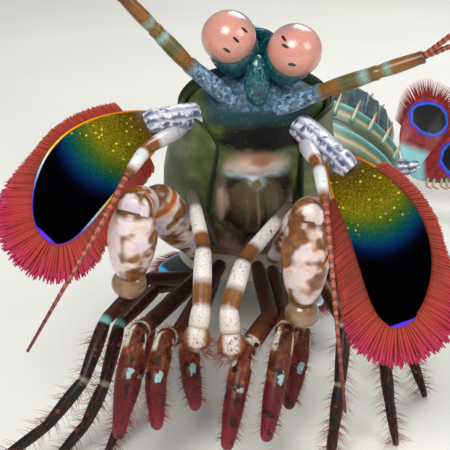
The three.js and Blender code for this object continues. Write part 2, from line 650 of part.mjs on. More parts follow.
// Antennal scales: a broad oval blade with a red fringe, on a stout base
const SCALES = {
  R: { root: [-1.4, 6.6, 28.6], base: [-5.4, 3.1, 29.4], tip: [-14.4, -5.6, 22.4], outer: [-0.7, 0.3, 0.7] },
  L: { root: [6.0, 6.2, 28.2], base: [9.3, 0.9, 26.9], tip: [14.1, -8.8, 16.2], outer: [1, 0.1, 0.3] },
};
const scaleFringe = (v, outerSide) => {
  const early = outerSide ? 1.1 : 0.7 + 1.4 * v;
  return mix(early, 3.2, smooth(v, 0.72, 1));
};
for (const [side] of SIDES) {
  const { root, base, tip, outer } = SCALES[side];
  const shape = bladeShape({
    base: vec(base),
    tip: vec(tip),
    outer: vec(outer),
    halfWidth: SCALE_HALF_WIDTH,
    bow: SCALE_BOW,
    dome: SCALE_DOME,
  });
  const onBlade = shape.at(0.1, 0.1, 0).toArray();
  const scale = (grow = 0) => {
    const foot = rod(jointed([root, base, onBlade], [1.2, 1.1, 0.8]), grow);
    return unite([bladePlate(shape, 8, 3, grow), foot, ...fringe(shape, SCALE_VANES, scaleFringe, grow)]);
  };
  node(`antennal_scale_${side}`, SCALE_OLIVE, scale);
}

// Uropods: a two-piece outer paddle with a spined edge, and an inner paddle, both fringed red
const UROPODS = {
  R: { knee: [9.2, 57.6, 12.0], outer: [5.2, 68.0, 13.6], inner: [10.6, 68.6, 14.2], lift: 0.9 },
  L: { knee: [25.2, 52.6, 5.2], outer: [36.4, 49.5, 8.9], inner: [28.6, 57.0, 13.4], lift: 1.0 },
};
const UROPOD_ROOT = TELSON_START - 1.2;
for (const [side, sign] of SIDES) {
  const { knee, outer, inner, lift } = UROPODS[side];
  const root = onBody(UROPOD_ROOT, 5.8 * sign, -1.9);
  const kneePoint = vec(knee);
  const { dorsal } = bodyAt(TELSON_START);
  const facing = vec([0, -0.75, 0.65]).addScaledVector(dorsal, side === 'L' ? 0.6 : 2.5).normalize();
  const paddle = (from, tip, length, halfWidth) => {
    const end = from.clone().add(vec(tip).sub(from).setLength(length));
    const outerSide = end.clone().sub(from).normalize().cross(facing).multiplyScalar(sign);
    return bladeShape({ base: from, tip: end, outer: outerSide, halfWidth, dome: 0.4, baseWidth: 0.06 });
  };
  const exopodShape = paddle(kneePoint, outer, EXOPOD_LENGTH, PADDLE_HALF_WIDTH);
  const raised = kneePoint.clone().addScaledVector(facing, lift);
  const endopodShape = paddle(raised, inner, ENDOPOD_LENGTH, PADDLE_HALF_WIDTH * 0.9);
  const fringeLength = (v) => mix(1.2, 2.4, smooth(v, 0.5, 1));
  const onExopod = exopodShape.at(0.14, 0, 0).toArray();
  const exopod = (grow = 0) => {
    const foot = rod(jointed([root.toArray(), knee, onExopod], [1.5, 1.3, 0.9]), grow);
    const spines = rimPlaces(exopodShape, UROPOD_SPINES, 0.12, 0.55).map(({ p, tangent }) => {
      const out = tangent.clone().cross(exopodShape.normal);
      if (out.dot(exopodShape.side) < 0) out.negate();
      const end = p.clone().addScaledVector(out, 1.1).addScaledVector(tangent, 0.7);
      return spine(p.clone().addScaledVector(out, -0.5), end, 0.32, grow);
    });
    const vanes = fringe(exopodShape, EXOPOD_VANES, fringeLength, grow, { start: 0.56, end: 1.8 });
    return unite([bladePlate(exopodShape, 6, 2, grow), foot, ...spines, ...vanes]);
  };
  const endopod = (grow = 0) => {
    const vanes = fringe(endopodShape, ENDOPOD_VANES, fringeLength, grow, { start: 0.3, end: 1.7 });
    return unite([bladePlate(endopodShape, 6, 2, grow), ...vanes]);
  };
  node(`uropod_exopod_${side}`, RED, exopod);
  node(`uropod_endopod_${side}`, RED, endopod);
}

// Swimming legs: five pairs of black plates with a red fringe, the first swung forward
const PLEOPODS = [
  { forward: 1, spread: 0.75, drop: -0.3 },
  { forward: 0.25, spread: 0.8, drop: -0.55 },
  { forward: -0.6, spread: 0.35, drop: -0.5 },
  { forward: -0.75, spread: 0.3, drop: -0.5 },
  { forward: -0.85, spread: 0.25, drop: -0.45 },
];
PLEOPODS.forEach(({ forward, spread, drop }, i) => {
  for (const [side, sign] of SIDES) {
    const s = ABDOMEN_START + (i + 0.5) * SOMITE_LENGTH;
    const { along, left, dorsal } = bodyAt(s);
    const root = onBody(s, 4.6 * sign, -1.6);
    const direction = along.clone().multiplyScalar(-forward).addScaledVector(left, spread * sign);
    direction.add(vec([0, 0, drop])).normalize();
    const start = root.clone().addScaledVector(dorsal, -0.6);
    const outer = left.clone().multiplyScalar(sign).addScaledVector(along, forward > 0 ? 0.6 : 0.1);
    const shape = bladeShape({
      base: start, tip: start.clone().addScaledVector(direction, PLEOPOD_LENGTH), outer,
      halfWidth: PLEOPOD_HALF_WIDTH, dome: 0.4, baseWidth: 0.08,
    });
    const pleopod = (grow = 0) => unite([
      bladePlate(shape, 5, 2, grow),
      ...fringe(shape, PLEOPOD_VANES, (v) => mix(1.0, 1.8, v), grow, { start: 0.4, end: 1.6 }),
    ]);
    node(`pleopod_${i + 1}_${side}`, DARK, pleopod);
  }
});

// Cut each node clear of the floor and of the nodes before it, and show it
const animal = new THREE.Group();
const grownSolids = [];
const boxesMeet = (a, b) => [0, 1, 2].every((i) => a.min[i] <= b.max[i] && b.min[i] <= a.max[i]);
for (const [name, { colour, shape, roughness }] of nodes) {
  let solid = shape().subtract(FLOOR);
  for (const grown of grownSolids) {
    if (boxesMeet(solid.boundingBox(), grown.boundingBox())) solid = solid.subtract(grown);
  }
  grownSolids.push(shape(CUT_GAP));
  const mesh = largest(solid).getMesh();
  const geometry = new THREE.BufferGeometry();
  geometry.setAttribute('position', new THREE.BufferAttribute(Float32Array.from(mesh.vertProperties), 3));
  geometry.setIndex(new THREE.BufferAttribute(Uint32Array.from(mesh.triVerts), 1));
  geometry.computeVertexNormals();
  const skin = new THREE.MeshStandardMaterial({ color: colour, roughness, metalness: 0 });
  const piece = new THREE.Mesh(geometry, skin);
  piece.name = name;
  animal.add(piece);
}

// The origin is on the floor under the middle of the animal
const bounds = new THREE.Box3().setFromObject(animal);
const middle = bounds.getCenter(new THREE.Vector3());
animal.position.set(-middle.x, -middle.y, -bounds.min.z);
animal.updateMatrixWorld(true);

export default animal;
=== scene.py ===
"""A pink-eared mantis shrimp, life size, reared up with its underside to the front.

Shapes are worked out in millimetres in the animal's own frame, +Z up and the head toward -Y,
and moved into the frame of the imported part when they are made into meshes.
"""
import math

import bpy
import numpy as np
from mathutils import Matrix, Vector


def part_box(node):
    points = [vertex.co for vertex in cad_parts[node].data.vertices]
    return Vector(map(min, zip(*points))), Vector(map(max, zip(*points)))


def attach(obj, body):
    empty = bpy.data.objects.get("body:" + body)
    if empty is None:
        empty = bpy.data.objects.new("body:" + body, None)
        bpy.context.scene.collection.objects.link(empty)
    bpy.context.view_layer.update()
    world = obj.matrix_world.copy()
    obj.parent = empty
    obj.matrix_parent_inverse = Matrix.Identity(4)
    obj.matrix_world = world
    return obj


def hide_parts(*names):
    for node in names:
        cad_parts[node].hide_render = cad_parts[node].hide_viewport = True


bl_info = {
    "name": "Mantis Shrimp",
    "version": (1, 0, 0),
    "blender": (4, 5, 0),
    "location": "3D View > Sidebar > Mantis Shrimp",
    "description": "Builds the shell, limbs, eyes and bristles of a mantis shrimp",
    "category": "Add Mesh",
}

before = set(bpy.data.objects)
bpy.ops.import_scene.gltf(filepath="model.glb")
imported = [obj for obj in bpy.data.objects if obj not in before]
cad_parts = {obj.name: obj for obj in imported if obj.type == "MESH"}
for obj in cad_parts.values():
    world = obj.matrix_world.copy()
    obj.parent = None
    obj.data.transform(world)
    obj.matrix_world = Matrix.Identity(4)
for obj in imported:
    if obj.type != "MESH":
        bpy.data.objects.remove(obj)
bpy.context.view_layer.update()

MM = 0.001
BODY = "root"

# Places of the eyes in the animal's own frame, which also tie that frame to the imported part
EYES = {"R": (0.3, 4.8, 36.0), "L": (5.8, 4.3, 35.0)}
EYE_LOW, EYE_HIGH = (np.array(corner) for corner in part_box("eye_R"))
SHIFT = (EYE_LOW + EYE_HIGH) / (2 * MM) - np.array(EYES["R"])

# Lengths along the body
CARAPACE_LENGTH = 18.0
THORAX_LENGTH = 12.5
SOMITE_LENGTH = 6.1
SOMITES = 6
TELSON_LENGTH = 13.0
ABDOMEN_START = CARAPACE_LENGTH + THORAX_LENGTH
TELSON_START = ABDOMEN_START + SOMITES * SOMITE_LENGTH
CARAPACE_RISE = 4.6
CARAPACE_DEPTH = 4.2
CARAPACE_WALL = 0.7
ABDOMEN_RISE = 3.6
ABDOMEN_DEPTH = 2.6
TAIL_ROLL = 0.55
BODY_ROUTE = [
    (2.8, 6.4, 31.0), (2.3, 9.8, 22.6), (1.8, 13.2, 14.3), (1.8, 17.3, 9.6), (2.4, 23.0, 7.4),
    (5.6, 29.6, 6.6), (9.6, 35.6, 6.4), (13.0, 42.0, 7.0), (15.4, 49.0, 7.9), (17.2, 56.0, 8.8),
    (18.9, 62.5, 9.8), (20.6, 69.0, 10.8),
]
SIDES = (("R", -1.0), ("L", 1.0))

# Points on the curves that are sampled closely before they are spaced out, and the power of their knots
CURVE_SAMPLES = 1500
BODY_SAMPLES = 1200
RIM_SAMPLES = 1200
KNOT_POWER = 0.5

# Directions that the sections of rods and hairs face
LIMB_UP = (0.15, -1.0, 0.35)
FEELER_UP = (0.1, -0.6, 0.8)
HAIR_UP = (0.1, -0.5, 0.85)


def unit(v):
    return v / np.maximum(np.linalg.norm(v, axis=-1, keepdims=True), 1e-9)


def mix(a, b, f):
    return a + (b - a) * f


def step(x, low, high):
    """Rises from 0 at low to 1 at high along a cubic with flat ends."""
    t = np.clip((x - low) / (high - low), 0, 1)
    return t * t * (3 - 2 * t)


def bell(x, middle, width):
    """A bell curve of height 1."""
    return np.exp(-(((x - middle) / width) ** 2))


def smooth_path(points, count):
    """A curve through the points, sampled evenly along its length.

    Between two points it blends two parabolas, with knots spaced by the root of the distance.
    """
    p = np.asarray(points, float)
    p = np.vstack([2 * p[0] - p[1], p, 2 * p[-1] - p[-2]])
    knots = np.concatenate([[0], np.cumsum(np.linalg.norm(np.diff(p, axis=0), axis=1) ** KNOT_POWER)])
    t = np.linspace(knots[1], knots[-2], CURVE_SAMPLES)
    i = np.clip(np.searchsorted(knots, t, side="right") - 1, 1, len(p) - 3)
    t = t[:, None]
    k = [knots[i + d][:, None] for d in (-1, 0, 1, 2)]
    q = [p[i + d] for d in (-1, 0, 1, 2)]
    a = [((k[j + 1] - t) * q[j] + (t - k[j]) * q[j + 1]) / (k[j + 1] - k[j]) for j in range(3)]
    b = [((k[j + 2] - t) * a[j] + (t - k[j]) * a[j + 1]) / (k[j + 2] - k[j]) for j in range(2)]
    dense = ((k[2] - t) * b[0] + (t - k[1]) * b[1]) / (k[2] - k[1])
    run = np.concatenate([[0], np.cumsum(np.linalg.norm(np.diff(dense, axis=0), axis=1))])
    goal = np.linspace(0, run[-1], count)
    return np.stack([np.interp(goal, run, dense[:, c]) for c in range(3)], axis=1), run[-1]


BODY_LINE, BODY_LINE_LENGTH = smooth_path(BODY_ROUTE, BODY_SAMPLES)
BODY_ALONG = unit(np.gradient(BODY_LINE, axis=0))


def body_frames(s):
    """Middle, tailward, left and dorsal vectors at distances s behind the carapace front."""
    s = np.asarray(s, float)
    u = np.clip(s / BODY_LINE_LENGTH, 0, 1) * (len(BODY_LINE) - 1)
    rows = np.arange(len(BODY_LINE))
    along = unit(np.stack([np.interp(u, rows, BODY_ALONG[:, c]) for c in range(3)], axis=-1))
    middle = np.stack([np.interp(u, rows, BODY_LINE[:, c]) for c in range(3)], axis=-1)
    beyond = s - np.clip(s, 0, BODY_LINE_LENGTH)
    middle = middle + along * beyond[..., None]
    left = unit(np.cross(along, np.array([0.0, 0.0, 1.0])))
    dorsal = np.cross(left, along)
    roll = (TAIL_ROLL * step(s, ABDOMEN_START + SOMITE_LENGTH, TELSON_START))[..., None]
    turned_left = left * np.cos(roll) - dorsal * np.sin(roll)
    turned_dorsal = dorsal * np.cos(roll) + left * np.sin(roll)
    return middle, along, turned_left, turned_dorsal


def on_body(s, leftward, dorsalward):
    middle, _, left, dorsal = body_frames(s)
    return middle + left * np.asarray(leftward)[..., None] + dorsal * np.asarray(dorsalward)[..., None]


# Closed surfaces: each is (points, quads, triangles, place), with place a value for the material


def oriented(points, quads, triangles, place):
    """Turns all faces over where the enclosed volume comes out negative."""
    fans = np.vstack([quads[:, [0, 1, 2]], quads[:, [0, 2, 3]], triangles])
    a, b, c = (points[fans[:, i]] for i in range(3))
    if np.sum(a * np.cross(b, c)) < 0:
        quads, triangles = quads[:, ::-1], triangles[:, ::-1]
    return points, quads, triangles, place


def wrap(rings, place):
    """Rings of points (rows, around) joined into a tube, with a fan to a pole over each end."""
    rows, around = rings.shape[:2]
    i, j = np.meshgrid(np.arange(rows - 1), np.arange(around), indexing="ij")
    k = (j + 1) % around
    quads = np.stack([i * around + j, i * around + k, (i + 1) * around + k, (i + 1) * around + j],
                     -1).reshape(-1, 4)
    points = np.vstack([rings.reshape(-1, 3), rings[0].mean(0), rings[-1].mean(0)])
    j = np.arange(around)
    k = (j + 1) % around
    low = np.stack([k, j, np.full(around, rows * around)], -1)
    last = (rows - 1) * around
    high = np.stack([last + j, last + k, np.full(around, rows * around + 1)], -1)
    place = np.vstack([place.reshape(-1, 3), place[0].mean(0), place[-1].mean(0)])
    return oriented(points, quads, np.vstack([low, high]), place)


def slab(front, back, place):
    """Two grids of points (rows, columns) joined round their edges into a closed plate."""
    rows, columns = front.shape[:2]
    size = rows * columns
    index = np.arange(size).reshape(rows, columns)
    a = np.stack([index[:-1, :-1], index[:-1, 1:], index[1:, 1:], index[1:, :-1]], -1).reshape(-1, 4)
    edge = np.concatenate([index[0, :-1], index[:-1, -1], index[-1, :0:-1], index[:0:-1, 0]])
    after = np.roll(edge, -1)
    sides = np.stack([after, edge, edge + size, after + size], -1)
    quads = np.vstack([a, a[:, ::-1] + size, sides])
    points = np.vstack([front.reshape(-1, 3), back.reshape(-1, 3)])
    return oriented(points, quads, np.zeros((0, 3), int), np.vstack([place.reshape(-1, 3)] * 2))


def stacked(*values):
    """Values that broadcast together, side by side along a new last axis."""
    return np.stack(np.broadcast_arrays(*values), -1)


def circle(around):
    angle = np.linspace(0, 2 * math.pi, around, endpoint=False)
    return np.cos(angle), np.sin(angle)


def tube(middle, side, up, wide, high, around=20, low=None):
    """Ovals of half width wide and half height high carried along the middle line."""
    c, s = circle(around)
    low = high if low is None else low
    height = np.where(s[None, :] > 0, high[:, None], low[:, None]) * s[None, :]
    return (middle[:, None] + side[:, None] * (wide[:, None] * c[None, :])[..., None]
            + up[:, None] * height[..., None])


def raised(shape, height):
    """The shape, with each point that lies lower than a height in mm brought up to it."""
    shape[0][:, 2] = np.maximum(shape[0][:, 2], height)
    return shape


def rod_frames(path, hint):
    """Side and up vectors along a path, the up ones as near the hint as they can be."""
    along = unit(np.gradient(path, axis=0))
    up = unit(hint - along * np.sum(along * hint, axis=1, keepdims=True))
    return np.cross(along, up), up


def limb(joints, radii, per=14, around=18, neck=0.7, collar=0.07):
    """A jointed limb: each piece swells as the root of a sine and ends in a small collar.

    Its place holds the piece's number plus the share along it, and the cosine and sine round it.
    """
    joints = np.asarray(joints, float)
    radii = np.asarray(radii, float)
    f = np.linspace(0.02, 0.98, per)
    start, end = joints[:-1, None], joints[1:, None]
    path = (start + (end - start) * f[None, :, None]).reshape(-1, 3)
    profile = neck + (1 - neck) * np.sin(math.pi * f ** 0.85) ** 0.55 + collar * bell(f, 0.93, 0.04)
    r = (mix(radii[:-1, None], radii[1:, None], f[None]) * profile[None]).ravel()
    side, up = rod_frames(path, np.array(LIMB_UP))
    c, s = circle(around)
    share = (np.arange(len(joints) - 1)[:, None] + f[None]).ravel()
    place = stacked(share[:, None], c[None], s[None])
    return wrap(tube(path, side, up, r, r, around), place)


def feeler(joints, r0, r1, rows=80, around=10, beads=0.0, bead_length=0.5):
    """A smooth tapering rod, with fine beads along it where asked: its radius runs straight from r0 to r1.

    Its place holds the share along it, and the cosine and sine round it.
    """
    path, length = smooth_path(joints, rows)
    f = np.linspace(0, 1, rows)
    r = mix(r0, r1, f) * (1 + beads * np.cos(2 * math.pi * f * length / bead_length))
    side, up = rod_frames(path, np.array(FEELER_UP))
    c, s = circle(around)
    return wrap(tube(path, side, up, r, r, around), stacked(f[:, None], c[None], s[None]))


def globe(centre, radii, axis=(0, 0, 1), rows=24, around=32):
    """An ellipsoid whose rings go round its axis. Its place holds the direction from its middle."""
    axis = unit(np.array(axis, float))
    hint = np.array([1.0, 0.2, 0.1])
    side = unit(hint - axis * np.dot(hint, axis))
    up = np.cross(axis, side)
    a = np.linspace(0.02, math.pi - 0.02, rows)
    c, s = circle(around)
    direction = (np.cos(a)[:, None, None] * axis + np.sin(a)[:, None, None]
                 * (c[None, :, None] * side + s[None, :, None] * up))
    return wrap(np.array(centre, float) + direction * np.array(radii, float), direction)


# Half the width of the patch of texture that a hair gets, and a share whose multiples spread evenly
HAIR_PATCH = 0.0014
GOLDEN_SHARE = 0.61803


def strands(root, direction, bend, length, radius, uv, tone, segments, around, flat=1.0, normal=HAIR_UP,
            blunt=False):
    """Thin tapered hairs, all in one mesh: each is a parabola from its root, closed at both ends.

    The radius falls with the share that is left, to the power 0.7. A blunt hair widens along its length
    and rounds off at its end.
    Its place holds the share along the hair, the tone that its maker gives, and a number of its own.
    """
    count = len(root)
    t = np.linspace(0, 1, segments + 1)
    middle = (root[:, None] + direction[:, None] * (length[:, None] * t)[..., None]
              + bend[:, None] * (length[:, None] * t ** 2)[..., None])
    normal = np.array(normal)
    up = unit(normal - direction * np.sum(direction * normal, axis=1, keepdims=True))
    side = np.cross(direction, up)
    if blunt:
        taper = (0.8 + np.outer(0.15 + 0.9 * tone, t)) * np.maximum(1 - t ** 6, 0.05) ** 0.5
    else:
        taper = np.maximum((1 - t) ** 0.7, 0.12)[None]
    r = radius[:, None] * taper
    c, s = circle(around)
    points = (middle[:, :, None] + side[:, None, None] * (r[:, :, None] * c)[..., None]
              + up[:, None, None] * (r[:, :, None] * flat * s)[..., None])
    per = (segments + 1) * around
    i, j = np.meshgrid(np.arange(segments), np.arange(around), indexing="ij")
    k = (j + 1) % around
    one = np.stack([i * around + j, i * around + k, (i + 1) * around + k, (i + 1) * around + j],
                   -1).reshape(-1, 4)
    base = np.arange(count)[:, None, None] * per
    quads = (one[None] + base).reshape(-1, 4)
    fan = np.array([[0, j + 1, j] for j in range(1, around - 1)])
    caps = np.vstack([fan, (segments * around) + fan[:, ::-1]])
    triangles = (caps[None] + base).reshape(-1, 3)
    own = np.modf(np.arange(count) * GOLDEN_SHARE)[0]
    place = stacked(t[None, :, None], tone[:, None, None], own[:, None, None])
    place = np.broadcast_to(place, (count, segments + 1, around, 3))
    shape = oriented(points.reshape(-1, 3), quads, triangles, place.reshape(-1, 3))
    patch = stacked(HAIR_PATCH * c[None, :], HAIR_PATCH * (2 * t[:, None] - 1))
    maps = uv[:, None, None] + patch[None]
    return (*shape, maps.reshape(-1, 2))


# Making objects


def make(name, shapes, material, slot, *nodes):
    """One object from closed surfaces, riding on the body, in the named material, in place of CAD nodes."""
    points, quads, triangles, place, maps = [], [], [], [], []
    total = 0
    for shape in shapes:
        p, q, t, v = shape[:4]
        points.append(p)
        quads.append(q + total)
        triangles.append(t + total)
        place.append(v)
        maps.append(shape[4] if len(shape) > 4 else None)
        total += len(p)
    points = (np.vstack(points) + SHIFT) * MM
    quads, triangles = np.vstack(quads), np.vstack(triangles)
    mesh = bpy.data.meshes.new(name)
    mesh.vertices.add(len(points))
    mesh.vertices.foreach_set("co", points.astype(np.float32).ravel())
    corners = np.concatenate([quads.ravel(), triangles.ravel()]).astype(np.int32)
    mesh.loops.add(len(corners))
    mesh.loops.foreach_set("vertex_index", corners)
    sizes = np.concatenate([np.full(len(quads), 4), np.full(len(triangles), 3)])
    mesh.polygons.add(len(sizes))
    starts = np.concatenate([[0], np.cumsum(sizes)[:-1]]).astype(np.int32)
    mesh.polygons.foreach_set("loop_start", starts)
    mesh.polygons.foreach_set("use_smooth", np.ones(len(sizes), bool))
    values = mesh.attributes.new("place", "FLOAT_VECTOR", "POINT")
    values.data.foreach_set("vector", np.vstack(place).astype(np.float32).ravel())
    if all(m is not None for m in maps):
        layer = mesh.uv_layers.new(name="OFBake")
        layer.data.foreach_set("uv", np.vstack(maps)[corners].astype(np.float32).ravel())
    mesh.update(calc_edges=True)
    piece = bpy.data.objects.new(name, mesh)
    bpy.context.scene.collection.objects.link(piece)
    mesh.materials.append(finish(material))
    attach(piece, BODY)
    if nodes:
        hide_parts(*nodes)
    return piece


# Materials


def linear(colour):
    """An sRGB hex value as linear red, green and blue."""
    value = np.array([int(colour[i:i + 2], 16) / 255 for i in (1, 3, 5)])
    low = value / 12.92
    high = ((value + 0.055) / 1.055) ** 2.4
    return (*np.where(value <= 0.04045, low, high), 1.0)


def add(tree, kind, inputs=None, stops=None, **settings):
    """Adds one node: inputs maps a socket's name or number to a value or to another node's output."""
    node = tree.nodes.new("ShaderNode" + kind)
    for name, value in settings.items():
        setattr(node, name, value)
    for key, value in (inputs or {}).items():
        if isinstance(value, bpy.types.NodeSocket):
            tree.links.new(value, node.inputs[key])
        else:
            node.inputs[key].default_value = value
    if stops:
        band = node.color_ramp.elements
        while len(band) > 1:
            band.remove(band[-1])
        band[0].position = stops[0][0]
        band[0].color = linear(stops[0][1])
        for position, colour in stops[1:]:
            band.new(position).color = linear(colour)
    return node


def material(name, paint, roughness=0.35, coat=0.3, subsurface=0.1, bump=0.0, specular=0.45):
    """A shell finish. paint(tree, place) gives the colour, and a height for the bump or None."""
    skin = bpy.data.materials.new(name)
    skin.use_nodes = True
    tree = skin.node_tree
    shader = tree.nodes["Principled BSDF"]
    attribute = add(tree, "Attribute", attribute_name="place")
    place = add(tree, "SeparateXYZ", {0: attribute.outputs["Vector"]})
    colour, height = paint(tree, place.outputs)
    tree.links.new(colour, shader.inputs["Base Color"])
    shader.inputs["Roughness"].default_value = roughness
    shader.inputs["Coat Weight"].default_value = coat
    shader.inputs["Specular IOR Level"].default_value = specular
    shader.inputs["Coat Roughness"].default_value = 0.12
    shader.inputs["Subsurface Weight"].default_value = subsurface
    shader.inputs["Subsurface Scale"].default_value = 0.6 * MM
    if height is not None:
        relief = add(tree, "Bump", {"Height": height, "Strength": 0.6, "Distance": bump * MM})
        tree.links.new(relief.outputs[0], shader.inputs["Normal"])
    return skin


def noise(tree, size, detail=3.0, rough=0.55, warp=0.0):
    """Cloudy noise in object space whose blotches are about size millimetres across."""
    where = add(tree, "TexCoord").outputs["Object"]
    return add(tree, "TexNoise", {"Vector": where, "Scale": 1 / (size * MM), "Detail": detail,
                                  "Roughness": rough, "Distortion": warp}).outputs["Fac"]


def blend(tree, factor, first, second, mode="MIX"):
    """Mixes two colours, each a hex value or another node's output."""
    inputs = {0: factor}
    for key, colour in ((6, first), (7, second)):
        inputs[key] = linear(colour) if isinstance(colour, str) else colour
    return add(tree, "Mix", inputs, data_type="RGBA", blend_type=mode).outputs[2]


def ramp(tree, factor, stops, scale=1.0):
    """Colours along a factor that runs from 0 to scale."""
    if scale != 1.0:
        factor = math_of(tree, "DIVIDE", factor, scale)
    return add(tree, "ValToRGB", {0: factor}, stops=stops).outputs[0]


def math_of(tree, operation, a, b=0.0, c=0.0):
    return add(tree, "Math", {0: a, 1: b, 2: c}, operation=operation).outputs[0]


def times(tree, *factors):
    """The product of all the factors."""
    product = factors[0]
    for factor in factors[1:]:
        product = math_of(tree, "MULTIPLY", product, factor)
    return product


def cells(tree, size):
    """Distance from the middle of the nearest of many cells, each about size millimetres across."""
    where = add(tree, "TexCoord").outputs["Object"]
    return add(tree, "TexVoronoi", {"Vector": where, "Scale": 1 / (size * MM)}).outputs["Distance"]


def mask(tree, value, low, high):
    """0 below low, 1 above high, smooth between; low may be the greater."""
    spread = add(tree, "MapRange", {"Value": value, "From Min": low, "From Max": high},
                 interpolation_type="SMOOTHSTEP")
    return spread.outputs[0]


def paint_shell(tree, place):
    """Half-clear olive shell: dark teal at the front margin and the rims, cloudy between."""
    cloud = noise(tree, 3.0, 4)
    base = ramp(tree, cloud, [(0.3, "#3c4722"), (0.5, "#5c6838"), (0.7, "#8a9670")])
    fine = noise(tree, 0.35, 2)
    base = blend(tree, times(tree, mask(tree, fine, 0.6, 0.75), 0.3), base, "#8c9468")
    front = mask(tree, place[0], 1.8, 0.4)
    base = blend(tree, front, base, "#0b3033")
    edge = mask(tree, place[2], 0.98, 0.992)
    return blend(tree, edge, base, "#1c2614"), fine


def oval(tree, place, middle_x, middle_y, half_x, half_y, power=2.0):
    """Distance from a middle on the first two place values, in half widths.

    It is the root of order power of the sum of that power of each distance.
    """
    x = math_of(tree, "DIVIDE", math_of(tree, "SUBTRACT", place[0], middle_x), half_x)
    y = math_of(tree, "DIVIDE", math_of(tree, "SUBTRACT", place[1], middle_y), half_y)
    x, y = (math_of(tree, "POWER", math_of(tree, "ABSOLUTE", value), power) for value in (x, y))
    return math_of(tree, "POWER", math_of(tree, "ADD", x, y), 1 / power)


def paint_face(tree, place):
    """Mouth field: blue-grey brow, a black band of painted shadow over the groove below it, pale spot with a
    brown middle, brown labrum, olive cheeks.
    """
    cloud = noise(tree, 1.2, 4)
    fine = noise(tree, 0.22, 3)
    cheeks = ramp(tree, cloud, [(0.3, "#343f1c"), (0.5, "#535f30"), (0.72, "#78845a")])
    wobble = math_of(tree, "MULTIPLY_ADD", cloud, 0.6, -0.3)
    across = math_of(tree, "ABSOLUTE", place[0])

    def patch(middle_x, middle_y, half_x, half_y, soft=0.25, rough=0.5, power=2.0):
        reach = oval(tree, place, middle_x, middle_y, half_x, half_y, power)
        reach = math_of(tree, "ADD", reach, times(tree, wobble, rough))
        return mask(tree, reach, 1 + soft / 2, 1 - soft / 2)

    lower = times(tree, mask(tree, place[1], 13.6, 15.0), mask(tree, across, 4.4, 3.0))
    colour = blend(tree, lower, cheeks, ramp(tree, cloud, [(0.35, "#5c4234"), (0.7, "#8c6a58")]))
    colour = blend(tree, patch(0.2, 10.9, 3.7, 4.5), colour, "#251a10")
    grain = noise(tree, 0.3, 4)
    labrum = math_of(tree, "MULTIPLY_ADD", grain, 0.3, math_of(tree, "DIVIDE", place[1], 20.0))
    labrum = ramp(tree, labrum, [
        (0.5, "#4f4229"), (0.62, "#54452c"), (0.72, "#3b2d1b"), (0.8, "#20150f"), (0.9, "#3c261c")])
    colour = blend(tree, patch(0, 10.9, 2.75, 3.6, 0.12, 0.2), colour, labrum)
    stripes = mask(tree, math_of(tree, "COSINE", times(tree, place[0], 6.5)), 0.2, 0.9)
    ridge = times(tree, times(tree, stripes, mask(tree, across, 1.3, 0.5)),
                    patch(0, 10.9, 1.5, 2.9, 0.5))
    colour = blend(tree, times(tree, ridge, 0.45), colour, "#7d7052")
    brow = mask(tree, place[1], 0.5, -0.3)
    mottle = noise(tree, 0.45, 4)
    front = times(tree, mask(tree, place[1], 2.2, 1.2), mask(tree, across, 5.6, 3.8))
    colour = blend(tree, front, colour, "#10373a")
    colour = blend(tree, brow, colour, ramp(tree, mottle, [(0.32, "#12303a"), (0.5, "#34566c"),
                                                           (0.72, "#7890a8")]))
    # Painted shadow: a near-black band over the groove that runs across the mouth field below the brow
    colour = blend(tree, patch(0.5, 3.0, 4.1, 1.75, 0.5), colour, "#030607")
    pale = math_of(tree, "MULTIPLY_ADD", cloud, 1.2, math_of(tree, "SUBTRACT", place[1], 5.0))
    pale = ramp(tree, pale, [
        (0.0, "#8c6a5a"), (0.3, "#d0aa98"), (0.6, "#f0e0d8"), (0.8, "#e4eeee"), (1.0, "#a8c4c0")],
        scale=3.2)
    colour = blend(tree, patch(-0.1, 6.0, 2.5, 1.6, 0.8, 1.6, 2.4), colour, pale)
    smudge = times(tree, patch(0.2, 5.1, 1.0, 0.5, 1.3, 2.0), 0.75)
    colour = blend(tree, smudge, colour, "#8a5434")
    colour = blend(tree, patch(-0.1, 7.7, 0.45, 0.25, 0.5, 1.5), colour, "#6d5a30")
    colour = blend(tree, patch(-3.1, 10.6, 0.6, 2.4, 0.9, 2.2), colour, "#a08474")
    colour = blend(tree, patch(3.2, 11.5, 0.5, 1.8, 0.9, 2.2), colour, "#6c5c4c")
    freckle = mask(tree, fine, 0.63, 0.72)
    return blend(tree, times(tree, freckle, 0.15), colour, "#c8b8a0"), fine


def paint_eye(tree, place):
    """Pink cornea with fine facets, three midband lines and three dark pseudopupils."""
    cell = cells(tree, 0.1)
    base = blend(tree, mask(tree, cell, 0.15, 0.6), "#dda491", "#cf8f7e")
    height = math_of(tree, "ABSOLUTE", place[0])
    rim = mask(tree, height, 1.5, 2.25)
    base = blend(tree, times(tree, rim, 0.6), base, "#87707c")
    rows = math_of(tree, "ABSOLUTE", math_of(tree, "SINE", times(tree, place[0], math.pi / 0.16)))
    line = times(tree, mask(tree, rows, 0.35, 0.05), mask(tree, height, 0.28, 0.24))
    base = blend(tree, times(tree, line, 0.6), base, "#8f5f58")
    spot = mask(tree, place[2], 1.25, 0.95)
    return blend(tree, spot, base, "#120b0b"), cell


def paint_stalk(tree, place):
    """Dark teal skin with turquoise specks."""
    cloud = noise(tree, 0.9, 4)
    base = ramp(tree, cloud, [(0.3, "#04262c"), (0.5, "#093f46"), (0.72, "#12636b")])
    specks = mask(tree, noise(tree, 0.25, 3, rough=0.7), 0.54, 0.68)
    return blend(tree, times(tree, specks, place[2]), base, "#49b6c6"), cloud


